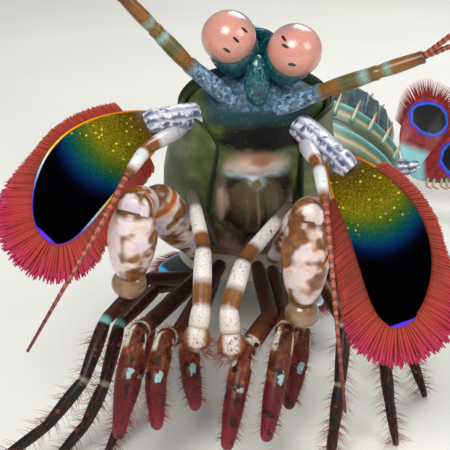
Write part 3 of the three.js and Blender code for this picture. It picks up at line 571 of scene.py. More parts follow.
def paint_antennule(tree, place):
    """Blue-grey first piece, then gold-brown pieces with pale joints, and red-brown flagella."""
    base = ramp(tree, place[0], [
        (0.0, "#3f5f70"), (0.2, "#7892a4"), (0.3, "#56757f"), (0.33, "#6d4206"), (0.40, "#85560c"),
        (0.47, "#46552a"), (0.53, "#655016"), (0.58, "#86a8a0"), (0.62, "#66521c"), (0.67, "#80520c"),
        (0.72, "#789e8e"), (0.76, "#85560f"), (0.86, "#804a0a"), (0.97, "#60340a"), (1.0, "#522010")],
        scale=3.0)
    streaks = noise(tree, 0.4, 5, rough=0.75, warp=0.6)
    first = mask(tree, place[0], 0.98, 0.86)
    blue = ramp(tree, streaks, [(0.35, "#16242c"), (0.47, "#3f6078"), (0.58, "#7f9fb8"), (0.7, "#c4d8ea")])
    base = blend(tree, first, base, blue)
    spots = mask(tree, streaks, 0.54, 0.64)
    spots = times(tree, spots, math_of(tree, "SUBTRACT", 1.0, first))
    return blend(tree, times(tree, spots, 0.6), base, "#3a2c10"), streaks


def paint_flagellum(tree, place):
    """Fine red-brown rings, darker toward the tip."""
    rings = math_of(tree, "SINE", times(tree, place[0], 150.0))
    base = blend(tree, mask(tree, rings, -0.2, 0.4), "#7c2f1f", "#a85a3c")
    return blend(tree, mask(tree, place[0], 0.5, 1.0), base, "#5c1f1c"), rings


# Length over which the colours of an antennal blade run, and half its width, in mm
SCALE_LENGTH = 13.0
SCALE_HALF_WIDTH = 3.3


def paint_blade(tree, place):
    """Antennal blade: brown base, then speckled olive yellow, green, teal, dark blue and a black end.

    The rim is a thin orange line that turns pale blue and violet toward the tip.
    """
    grain = noise(tree, 0.14, 3, rough=0.75)
    v = math_of(tree, "DIVIDE", place[1], SCALE_LENGTH)
    x = math_of(tree, "DIVIDE", place[0], SCALE_HALF_WIDTH)
    reach = math_of(tree, "MULTIPLY_ADD", times(tree, x, x), 0.1, v)
    reach = math_of(tree, "ADD", reach, math_of(tree, "MULTIPLY_ADD", grain, 0.22, -0.11))
    base = ramp(tree, reach, [
        (0.0, "#a89c98"), (0.07, "#8c7c68"), (0.13, "#5a4618"), (0.3, "#7a6a10"), (0.42, "#837a18"),
        (0.5, "#4c6a1e"), (0.56, "#1d5c42"), (0.61, "#0d4c5c"), (0.66, "#0a2c60"), (0.71, "#060e28"),
        (0.76, "#030307"), (1.0, "#020203")])
    shade = ramp(tree, grain, [(0.38, "#4c4c4c"), (0.62, "#ffffff")])
    base = blend(tree, 0.75, base, shade, "MULTIPLY")
    speck = mask(tree, cells(tree, 0.62), 0.2, 0.1)
    field = times(tree, mask(tree, v, 0.1, 0.2), mask(tree, v, 0.56, 0.46))
    base = blend(tree, times(tree, speck, field), base, "#c8bc3c")
    rim_colour = ramp(tree, v, [(0.0, "#7a3c0c"), (0.15, "#d07a08"), (0.5, "#f0a000"), (0.64, "#ffd030"),
                                (0.72, "#d0e4c8"), (0.82, "#7cc8f0"), (0.92, "#3c5ae8"), (0.99, "#5a34d8")])
    edge = math_of(tree, "MULTIPLY_ADD", mask(tree, v, 0.8, 1.0), -0.02, place[2])
    return blend(tree, mask(tree, edge, 0.915, 0.935), base, rim_colour), grain


def paint_scale_foot(tree, place):
    """Smoky white shell, ridged lengthwise, with blue-grey hollows darkened as painted shade, and brown lines
    at the joints.
    """
    cloud = noise(tree, 0.8, 4, warp=0.8)
    wave = math_of(tree, "MULTIPLY_ADD", place[1], 9.0, times(tree, cloud, 9.0))
    ridge = math_of(tree, "MULTIPLY_ADD", math_of(tree, "SINE", wave), 0.13, cloud)
    # Painted shade: the colour falls to dark blue-grey where the bump height is lowest, in the hollows
    # between the ridges
    base = ramp(tree, ridge, [(0.3, "#46506a"), (0.42, "#7c849c"), (0.54, "#bcbac8"), (0.68, "#ebe8ee")])
    joint = mask(tree, noise(tree, 0.35, 3, warp=1.0), 0.62, 0.7)
    return blend(tree, times(tree, joint, 0.8), base, "#5c3a1c"), ridge


def paint_bristle(tree, place):
    """Red bristles: brick at the root, brighter at the tip, crimson and violet where the tone is high."""
    base = ramp(tree, place[0], [(0.0, "#7c2c14"), (0.4, "#8e2c18"), (0.85, "#a83626"), (1.0, "#b84c3a")])
    deep = ramp(tree, place[0], [(0.0, "#9a3418"), (0.4, "#a82c22"), (0.75, "#a41a36"), (1.0, "#bc2e58")])
    base = blend(tree, mask(tree, place[1], 0.35, 0.95), base, deep)
    dark = times(tree, mask(tree, place[2], 0.55, 1.0), 0.45)
    return blend(tree, dark, base, "#5a1014"), None


def paint_antenna(tree, place):
    """White pieces with brown joints, banded brown toward the flagellum."""
    cloud = noise(tree, 0.4, 3)
    base = ramp(tree, place[0], [
        (0.0, "#a8a4b0"), (0.36, "#dcd6d8"), (0.42, "#8a4e12"), (0.55, "#7a4210"), (0.60, "#cfd4d4"),
        (0.8, "#e8e6e6"), (0.9, "#80480f"), (1.0, "#5a2414")], scale=2.0)
    return blend(tree, mask(tree, cloud, 0.6, 0.7), base, "#9a6a50"), cloud


def paint_claw(tree, place):
    """Porcelain cream claw with red-brown blotches, brown joints and a thin orange rim at each collar."""
    cloud = noise(tree, 2.3, 2, warp=0.3)
    base = ramp(tree, noise(tree, 1.6, 3), [(0.32, "#cdbccb"), (0.5, "#e4d2cc"), (0.72, "#d0a88c")])
    blotch = ramp(tree, noise(tree, 0.6, 4), [(0.35, "#5c3210"), (0.65, "#94591e")])
    base = blend(tree, mask(tree, cloud, 0.48, 0.6), base, blotch)
    share = math_of(tree, "FRACT", place[0])
    joint = math_of(tree, "MAXIMUM", mask(tree, share, 0.1, 0.03), mask(tree, share, 0.94, 0.99))
    base = blend(tree, joint, base, "#6e4220")
    ring = times(tree, mask(tree, share, 0.86, 0.89), mask(tree, share, 0.95, 0.92))
    ring = times(tree, ring, place[2])
    return blend(tree, ring, base, "#b8590f"), noise(tree, 0.3, 2)


def paint_club(tree, _):
    """Smooth tan heel in cloudy tones."""
    cloud = noise(tree, 1.4, 3)
    base = ramp(tree, cloud, [(0.35, "#7a5a3c"), (0.55, "#957656"), (0.7, "#a88c6c")])
    return base, noise(tree, 0.2, 2)


def paint_slender(tree, place):
    """First maxilliped: grey-brown with broad white bands and brown joints."""
    cloud = noise(tree, 0.5, 3)
    base = ramp(tree, place[0], [
        (0.0, "#3c332b"), (0.25, "#4d4038"), (0.32, "#655850"), (0.345, "#cfcfc8"), (0.44, "#e2dfd8"),
        (0.46, "#84541f"), (0.495, "#74400c"), (0.51, "#3a200d"), (0.525, "#d8d2cc"), (0.63, "#e2dcd6"),
        (0.67, "#84501a"), (0.74, "#784410"), (0.76, "#dcd4cc"), (0.89, "#d0c4b8"), (0.93, "#84501a"),
        (1.0, "#84501a")], scale=4.0)
    specks = mask(tree, noise(tree, 0.18, 2), 0.58, 0.66)
    base = blend(tree, times(tree, specks, 0.5), base, "#5a5048")
    return blend(tree, mask(tree, cloud, 0.62, 0.72), base, "#74451c"), cloud


def paint_hand(tree, place):
    """Third to fifth maxillipeds: red-brown with cream patches, a blue-white spot and a crimson claw."""
    cloud = noise(tree, 0.9, 4, warp=0.5)
    base = ramp(tree, place[0], [
        (0.0, "#2a1b12"), (0.3, "#3f1e0e"), (0.40, "#562810"), (0.425, "#562810"), (0.44, "#d2d6c4"),
        (0.465, "#c8c8b0"), (0.48, "#562810"), (0.60, "#5a2c0e"), (0.70, "#571c0c"), (0.76, "#4a120c"),
        (0.9, "#5a1012"), (1.0, "#7c1c2c")], scale=4.0)
    orange = mask(tree, noise(tree, 0.7, 5, rough=0.7), 0.5, 0.66)
    upper = times(tree, mask(tree, place[0], 1.5, 1.9), mask(tree, place[0], 3.4, 2.6))
    base = blend(tree, times(tree, orange, upper), base, "#8c4a1c")
    flank = mask(tree, math_of(tree, "ABSOLUTE", place[1]), 0.55, 0.8)
    ragged = math_of(tree, "MULTIPLY_ADD", cloud, 0.5, place[0])
    streak = times(tree, mask(tree, ragged, 2.24, 2.32), mask(tree, ragged, 2.78, 2.6))
    base = blend(tree, times(tree, streak, flank), base, "#d8d4bc")
    spot = oval(tree, (place[1], ragged), -0.15, 3.21, 0.34, 0.07)
    spot = times(tree, mask(tree, spot, 1.2, 0.8), mask(tree, place[2], 0.0, 0.3))
    base = blend(tree, mask(tree, cloud, 0.47, 0.36), base, "#1c0a07")
    return blend(tree, times(tree, spot, 0.8), base, "#9cc4c0"), cloud


def paint_leg(tree, place):
    """Walking leg: brown-red with pale joints, then a black rod with a red end."""
    cloud = noise(tree, 0.8, 4)
    base = ramp(tree, place[0], [
        (0.0, "#3a2e20"), (0.22, "#4f2114"), (0.39, "#4a180e"), (0.398, "#6ab8b8"), (0.408, "#9ad4d0"),
        (0.416, "#300e0c"), (0.59, "#1c0a0b"), (0.60, "#8a8a70"), (0.61, "#120a0c"), (0.85, "#0a080a"),
        (1.0, "#2a0a0e")], scale=5.0)
    return blend(tree, mask(tree, cloud, 0.6, 0.7), base, "#8a4a34"), cloud


def paint_somite(tree, place):
    """Body plates: olive and green with a cream band and a cyan rear edge. Place holds the share along."""
    cloud = noise(tree, 1.8, 4)
    share = math_of(tree, "MULTIPLY_ADD", cloud, 0.12, place[0])
    share = math_of(tree, "SUBTRACT", share, 0.06)
    base = ramp(tree, share, [
        (0.0, "#6a6040"), (0.12, "#3c4634"), (0.3, "#46563c"), (0.45, "#66745a"), (0.55, "#b8a478"),
        (0.64, "#76805a"), (0.72, "#4c6650"), (0.86, "#3f7c74"), (0.94, "#6ab4b0"), (1.0, "#dce4d4")])
    flank = mask(tree, place[1], 0.75, 0.98)
    base = blend(tree, times(tree, flank, 0.5), base, "#8cbcb8")
    belly = mask(tree, place[2], -0.1, -0.4)
    return blend(tree, belly, base, "#a89c86"), noise(tree, 0.4, 3)


def paint_telson(tree, place):
    """Dark blue-green cloudy shield, blended to orange where its first place value passes 0.9."""
    cloud = noise(tree, 1.0, 4)
    base = ramp(tree, cloud, [(0.3, "#0d1a1c"), (0.5, "#15363b"), (0.7, "#1f6a70")])
    tip = mask(tree, place[0], 0.9, 1.1)
    return blend(tree, tip, base, "#e0a04c"), cloud


def paint_spine(tree, place):
    """A cream spine with an orange tip."""
    return ramp(tree, place[0], [(0.0, "#5c8c80"), (0.4, "#a8a880"), (0.6, "#c88c40"),
                                 (1.0, "#8c4812")]), None


# Middle and half widths of a paddle's dark spot, across and along, in mm
PADDLE_SPOT = (0.2, 6.6, 2.5, 2.1)


def paint_paddle(tree, place):
    """Uropod paddle: deep red with a black spot, ringed blue and violet."""
    cloud = noise(tree, 0.8, 4)
    reach = math_of(tree, "SUBTRACT", oval(tree, place, *PADDLE_SPOT), 0.15)
    reach = math_of(tree, "MULTIPLY_ADD", noise(tree, 1.2, 3), 0.3, reach)
    red = ramp(tree, cloud, [(0.3, "#5c1418"), (0.55, "#8f1f20"), (0.75, "#b8322c")])
    base = blend(tree, mask(tree, place[1], 2.6, 1.2), red, "#8cc8cc")
    base = blend(tree, mask(tree, reach, 1.28, 1.16), base, "#54289a")
    base = blend(tree, mask(tree, reach, 1.14, 1.02), base, "#1c62d0")
    return blend(tree, mask(tree, reach, 1.0, 0.9), base, "#08080b"), cloud


def paint_pleopod(tree, place):
    """Swimming leg: black plate with a bright blue rim."""
    cloud = noise(tree, 0.6, 3)
    base = ramp(tree, cloud, [(0.35, "#070709"), (0.6, "#15161c"), (0.75, "#2a2230")])
    rim = mask(tree, place[2], 0.8, 0.9)
    return blend(tree, rim, base, "#22b4e6"), cloud


def paint_floor(tree, _):
    """Plain pale floor with the faintest grain."""
    return ramp(tree, noise(tree, 30.0, 2), [(0.3, "#e6e4de"), (0.7, "#eceae4")]), None


PAINTS = {
    "wet_olive_shell": (paint_shell, dict(roughness=0.45, coat=0.1, subsurface=0.15, bump=0.03,
                                          specular=0.3)),
    "mouth_field": (paint_face, dict(roughness=0.5, coat=0.08, subsurface=0.12, bump=0.05, specular=0.25)),
    "faceted_cornea": (paint_eye, dict(roughness=0.22, coat=0.8, subsurface=0.3, bump=0.015)),
    "eyestalk_skin": (paint_stalk, dict(roughness=0.3, coat=0.5, bump=0.05)),
    "antennule_shell": (paint_antennule, dict(roughness=0.35, bump=0.04)),
    "red_flagellum": (paint_flagellum, dict(roughness=0.4, bump=0.02)),
    "speckled_blade": (paint_blade, dict(roughness=0.55, coat=0.0, subsurface=0.0, bump=0.03,
                                         specular=0.0)),
    "antennal_foot": (paint_scale_foot, dict(roughness=0.3, bump=0.05)),
    "red_bristle": (paint_bristle, dict(roughness=0.55, coat=0.0, subsurface=0.0, specular=0.3)),
    "antenna_shell": (paint_antenna, dict(roughness=0.35, bump=0.03)),
    "porcelain_claw": (paint_claw, dict(roughness=0.3, coat=0.35, subsurface=0.2, bump=0.04)),
    "polished_club": (paint_club, dict(roughness=0.2, coat=0.7, subsurface=0.2, bump=0.01)),
    "banded_slender_limb": (paint_slender, dict(roughness=0.45, coat=0.15, bump=0.06)),
    "blotched_hand": (paint_hand, dict(roughness=0.5, coat=0.1, bump=0.08, specular=0.3)),
    "dark_walking_leg": (paint_leg, dict(roughness=0.5, coat=0.08, bump=0.08, specular=0.3)),
    "green_body_plate": (paint_somite, dict(roughness=0.42, coat=0.15, subsurface=0.15, bump=0.06,
                                            specular=0.3)),
    "dark_tail_shield": (paint_telson, dict(roughness=0.3, bump=0.05)),
    "orange_tipped_spine": (paint_spine, dict(roughness=0.3)),
    "red_paddle": (paint_paddle, dict(roughness=0.45, coat=0.1, bump=0.04, specular=0.25)),
    "black_swimming_plate": (paint_pleopod, dict(roughness=0.3, bump=0.03)),
    "pale_floor": (paint_floor, dict(roughness=0.8, coat=0.0, subsurface=0.0)),
}


def finish(name):
    """The named material, made when it is first asked for."""
    if name not in bpy.data.materials:
        paint, settings = PAINTS[name]
        material(name, paint, **settings)
    return bpy.data.materials[name]


# Blades: the antennal scales, the tail paddles and the swimming legs


# A blade's grid stops just short of its tip, and its rim's tangent is a mean over a reach in mm
TIP_SHARE = 0.9994
TANGENT_REACH = 0.9


class Blade:
    """A thin egg-shaped plate from base to tip, bowed to its outer side and domed toward its normal."""

    def __init__(self, base, tip, outer, half_width, bow=0.0, dome=0.0, base_width=0.03, thickness=0.4):
        self.base = np.array(base, float)
        along = np.array(tip, float) - self.base
        self.length = np.linalg.norm(along)
        self.along = along / self.length
        outer = np.array(outer, float)
        self.side = unit(outer - self.along * np.dot(outer, self.along))
        self.normal = np.cross(self.side, self.along)
        self.half_width, self.bow, self.dome = half_width, bow, dome
        self.base_width, self.thickness = base_width, thickness

    def egg(self, v):
        return (v + self.base_width) ** 0.55 * (1 - v) ** 0.42

    def half(self, v):
        return self.half_width * self.egg(v) / self.egg(0.6)

    def at(self, v, u, lift=0.0):
        """The point at share v along and u across, from -1 to 1, raised by lift from the middle surface."""
        v, u, lift = (np.asarray(x, float)[..., None] for x in np.broadcast_arrays(v, u, lift))
        arch = np.sin(math.pi * v)
        return (self.base + self.along * self.length * v + self.side * (self.bow * arch + self.half(v) * u)
                + self.normal * (self.dome * (1 - u * u) * arch + lift))

    def surface(self, rows=70, around=72):
        """An oval section, thickest in its middle, carried from base to tip."""
        v = TIP_SHARE * np.sin(np.linspace(0, math.pi / 2, rows))[:, None]
        c, s = circle(around)
        lift = 0.5 * self.thickness * np.sign(s) * np.abs(s) ** 0.7
        grid = self.at(v, c[None], lift[None])
        half = self.half(v) * np.abs(c[None])
        from_rim = np.minimum(self.half(v) - half, (1 - v) * self.length * 0.6)
        place = stacked(self.half(v) * c[None], self.length * v, 1 - from_rim / self.half_width)
        return wrap(grid, place)

    def rim(self, count, start, end, seed):
        """Places spaced evenly round the rim, from the outer base (0) over the tip (1) to the inner (2)."""
        q = np.linspace(start, end, RIM_SAMPLES)
        v = TIP_SHARE * np.sin(np.minimum(q, 2 - q) * math.pi / 2)
        u = np.where(q < 1, 1.0, -1.0)
        trail = self.at(v, u)
        run = np.concatenate([[0], np.cumsum(np.linalg.norm(np.diff(trail, axis=0), axis=1))])
        random = np.random.default_rng(seed)
        goal = (np.arange(count) + random.uniform(0.2, 0.8, count)) / count * run[-1]
        at = np.stack([np.interp(goal, run, trail[:, c]) for c in range(3)], axis=1)
        near = np.abs(run[:, None] - run[None]) < TANGENT_REACH
        tangent = near @ unit(np.gradient(trail, axis=0))
        tangent = unit(np.stack([np.interp(goal, run, tangent[:, c]) for c in range(3)], axis=1))
        outward = np.cross(np.broadcast_to(self.normal, tangent.shape), tangent)
        flip = np.sum(outward * (at - self.at(0.55, 0.0)), axis=1) < 0
        outward = np.where(flip[:, None], -outward, outward)
        return at, outward, np.interp(goal, run, v), np.interp(goal, run, u) > 0, random


# How far a bristle starts inside the rim, in mm
ROOT_DEPTH = 0.25


def bristle_fringe(blade, count, length_at, start, end, seed, radius=0.06, sweep=0.45, flat=0.5,
                   spread=0.02, blunt=False, lift=0.08):
    """Bristles round a blade: rooted inside the rim, swept toward the tip, each a little bent and varied."""
    at, outward, v, outer_side, random = blade.rim(count, start, end, seed)
    direction = outward + blade.along * sweep * mix(1.0, 0.0, v ** 3)[:, None]
    direction = unit(direction + random.normal(0, spread, direction.shape))
    length = length_at(v, outer_side) * random.uniform(0.94, 1.04, count)
    bend = (np.outer(random.normal(0, 0.03, count), blade.normal)
            + np.outer(random.normal(0.05, 0.02, count), blade.along))
    side = np.where(np.arange(count) % 2 == 0, 1.0, -1.0)
    root = at - outward * ROOT_DEPTH + np.outer(side * lift, blade.normal)
    across = np.where(outer_side, 1.0, -1.0) * blade.half(v) / blade.half_width
    uv = np.stack([0.5 + 0.4 * across, 0.06 + 0.88 * v], axis=1)
    tone = step(v, 0.6, 0.98)
    return strands(root, direction, bend, length + ROOT_DEPTH, np.full(count, radius), uv, tone,
                   segments=6 if blunt else 4, around=6 if blunt else 3, flat=flat, normal=blade.normal,
                   blunt=blunt)


SCALES = {
    "R": dict(root=(-1.4, 6.6, 28.6), base=(-5.4, 3.1, 29.4), tip=(-14.4, -5.6, 22.4),
              outer=(-0.7, 0.3, 0.7)),
    "L": dict(root=(6.0, 6.2, 28.2), base=(9.3, 0.9, 26.9), tip=(14.1, -8.8, 16.2), outer=(1, 0.1, 0.3)),
}
CLAWS = {
    "R": dict(root=(-2.6, 6.6, 15.0), elbow=(-6.1, -0.4, 23.9), wrist=(-7.2, -4.6, 24.6),
              end=(-7.9, -4.1, 18.2)),
    "L": dict(root=(4.6, 6.6, 14.6), elbow=(7.7, -0.8, 22.9), wrist=(6.6, -4.9, 24.0),
              end=(6.5, -4.4, 16.0)),
}
ANTENNULES = {
    "R": dict(joints=[(1.0, 6.2, 29.0), (-3.2, 2.9, 34.4), (-5.8, 2.2, 37.5), (-8.2, 1.3, 40.4)],
              ends=[(-15.2, 3.4, 46.5), (-13.4, 0.4, 48.0), (-17.0, -1.0, 43.5)]),
    "L": dict(joints=[(4.2, 6.2, 28.9), (8.3, 2.9, 32.0), (12.6, 1.6, 34.0), (16.1, 1.2, 35.4)],
              ends=[(25.5, 3.0, 40.5), (26.5, 0.2, 37.8), (24.5, -2.4, 41.8)]),
}
ANTENNAE = {
    "R": [(-3.6, 5.0, 28.0), (-6.4, -0.9, 28.3), (-7.9, -3.9, 26.9), (-10.0, -8.0, 23.9),
          (-12.6, -10.4, 20.0), (-15.3, -11.4, 15.5)],
    "L": [(6.8, 3.0, 27.2), (7.6, -1.4, 27.1), (7.9, -5.7, 25.3), (8.1, -8.5, 22.8), (8.6, -11.6, 17.5),
          (9.2, -14.2, 11.8)],
}
MAXILLIPEDS_1 = {
    "R": [(-0.9, 8.2, 15.4), (-2.9, 3.4, 22.6), (-1.8, -2.4, 20.1), (-1.9, -6.3, 16.6), (-2.3, -7.4, 14.3)],
    "L": [(3.2, 8.2, 15.2), (5.7, 3.2, 21.4), (1.6, -3.0, 19.2), (0.3, -6.4, 16.4), (0.5, -7.6, 13.8)],
}
MAXILLIPEDS = {
    3: {"R": [(-0.4, 9.2, 12.6), (-4.1, -2.4, 11.6), (-5.0, -5.2, 13.0), (-5.7, -8.2, 10.9),
              (-5.6, -9.6, 7.6)],
        "L": [(3.1, 9.2, 12.4), (3.9, -2.5, 13.6), (1.6, -6.5, 12.4), (0.9, -8.8, 10.0),
              (0.2, -11.0, 6.6)]},
    4: {"R": [(-1.6, 10.2, 11.6), (-6.6, -2.2, 12.6), (-7.2, -5.9, 13.9), (-8.0, -8.9, 11.7),
              (-8.6, -10.6, 7.4)],
        "L": [(4.6, 10.2, 11.4), (5.2, -1.2, 12.6), (5.0, -5.2, 13.4), (4.2, -8.4, 11.0),
              (3.4, -10.8, 7.3)]},
    5: {"R": [(-1.0, 12.6, 9.4), (-3.0, 3.0, 8.6), (-3.3, -0.6, 10.4), (-3.0, -3.6, 8.6),
              (-2.6, -4.6, 6.0)],
        "L": [(4.0, 12.6, 9.2), (6.4, 3.2, 8.8), (6.9, 0.0, 10.2), (6.2, -3.2, 8.6), (5.6, -4.4, 6.0)]},
}
WALKING_LEGS = {
    1: {"R": [(-1.5, 13.6, 8.6), (-7.2, 4.6, 13.4), (-10.5, -0.9, 12.2), (-12.1, -4.9, 8.6),
              (-15.2, -6.7, 5.2), (-22.2, -8.0, 0.0)],
        "L": [(5.2, 13.6, 8.6), (9.0, 5.0, 12.8), (10.6, -0.6, 11.6), (10.0, -3.8, 7.4), (9.5, -5.4, 3.8),
              (9.0, -6.8, 0.0)]},
    2: {"R": [(-1.6, 16.6, 7.2), (-6.6, 8.0, 10.6), (-9.6, 1.8, 10.2), (-10.6, -3.2, 7.0),
              (-12.2, -4.6, 3.9), (-15.8, -6.4, 0.0)],
        "L": [(5.4, 16.6, 7.2), (10.6, 9.6, 11.0), (13.4, 4.4, 10.4), (14.6, 0.8, 6.8), (15.0, -1.0, 3.6),
              (15.6, -2.6, 0.0)]},
    3: {"R": [(-1.4, 19.6, 6.2), (-5.0, 11.4, 8.0), (-7.0, 5.0, 8.2), (-8.0, 0.0, 5.6), (-9.0, -2.2, 3.2),
              (-10.8, -4.2, 0.0)],
        "L": [(5.6, 19.6, 6.2), (11.6, 14.6, 9.4), (15.8, 10.6, 9.0), (17.6, 8.2, 6.0), (18.4, 6.6, 3.2),
              (19.6, 5.2, 0.0)]},
}


class ShrimpProperties(bpy.types.PropertyGroup):
    """Sizes that a user would change."""

    eye_radius: bpy.props.FloatProperty(
        name="Eye radius", description="Radius of each eye", default=2.28 * MM, unit="LENGTH")
    scale_half_width: bpy.props.FloatProperty(
        name="Scale half width", description="Half the width of an antennal scale",
        default=SCALE_HALF_WIDTH * MM, unit="LENGTH")
    bristles: bpy.props.IntProperty(
        name="Bristles", description="Flat bristles round one antennal scale", default=380, min=50,
        max=2000)
    floor_size: bpy.props.FloatProperty(
        name="Floor size", description="Width of the floor", default=1.2, unit="LENGTH")


def settings():
    return bpy.context.scene.mantis_shrimp


class PieceOperator:
    """What all the piece operators share."""

    bl_options = {"REGISTER", "UNDO"}


class SHRIMP_OT_eyes(PieceOperator, bpy.types.Operator):
    """Round pink eyes on short stalks"""

    bl_idname = "shrimp.eyes"
    bl_label = "Eyes"

    # Dark pseudopupils of each eye: right and up from its middle as the camera sees it, and turn in degrees
    PUPILS = {"R": [(1.28, 0.25, 35), (0.6, -0.6, 40), (-0.15, -1.4, 30)],
              "L": [(-1.02, 0.68, 60), (-0.9, 0.0, 30), (-0.35, -1.45, 10)]}
    # Half sizes of a pupil, the long way, the short way and into the eye
    PUPIL_SIZE = (0.32, 0.11, 0.5)
    # Directions square to the midband of each eye, and the points where the stalks start
    BANDS = {"R": (0.55, 0.1, 0.83), "L": (-0.28, 0.1, 0.95)}
    STALK_ROOTS = {"R": (1.9, 7.0, 31.6), "L": (3.9, 6.9, 31.5)}

    def execute(self, context):
        radius = settings().eye_radius / MM
        right, up, toward = camera_axes()
        for side, _ in SIDES:
            centre = np.array(EYES[side])
            shape = globe(centre, (radius, radius, radius * 0.98), self.BANDS[side], rows=150, around=200)
            points = shape[0] - centre
            band = unit(np.array(self.BANDS[side]))
            latitude = points @ band
            spot = np.full(len(points), 9.0)
            for across, rise, turn in self.PUPILS[side]:
                depth = math.sqrt(radius ** 2 - across ** 2 - rise ** 2)
                away = points - (right * across + up * rise + toward * depth)
                a = math.radians(turn)
                long_way = away @ (right * math.cos(a) - up * math.sin(a))
                short_way = away @ (right * math.sin(a) + up * math.cos(a))
                deep = away @ toward
                reach = np.linalg.norm(np.stack([long_way, short_way, deep], -1) / self.PUPIL_SIZE, axis=1)
                spot = np.minimum(spot, reach)
            place = np.stack([latitude, points @ up, spot], axis=1)
            make(f"eye_ball_{side}", [(*shape[:3], place)], "faceted_cornea", "eye", f"eye_{side}")
            self.stalk(side, centre)
        column = globe((2.7, 4.4, 32.3), (1.1, 1.05, 2.3), (0, 0.42, 0.91), rows=50, around=40)
        column = (*column[:3], np.tile([0.5, 0.0, 0.9], (len(column[0]), 1)))
        make("eye_column", [column], "eyestalk_skin", "shell_teal")
        return {"FINISHED"}

    def stalk(self, side, centre):
        """A stem that swells into a cup round the lower third of the eye."""
        root = np.array(self.STALK_ROOTS[side])
        f = np.linspace(-0.15, 0.8, 40)
        path = root + (centre - root) * f[:, None]
        r = 1.1 + 0.75 * step(f, 0.3, 0.5) + 0.28 * step(f, 0.45, 0.74) - 0.1 * step(f, 0.75, 0.8)
        sides, up = rod_frames(path, np.array([0.0, -1.0, 0.3]))
        c, _ = circle(32)
        place = stacked(f[:, None], c[None], np.full((40, 1), 0.35))
        shape = wrap(tube(path, sides, up, r, r, 32), place)
        make(f"eye_stem_{side}", [shape], "eyestalk_skin", "shell_teal", f"eyestalk_{side}")


CARAPACE_HALF_WIDTH = 8.0
# How far the mouth field keeps inside the carapace, and its least half size, in mm
FACE_GAP = 0.95
FACE_LEAST = 0.25


def carapace_swell(v):
    """The carapace widens from its front to full size a little past its middle."""
    return mix(0.86, 1.0, step(v, 0, 0.55))


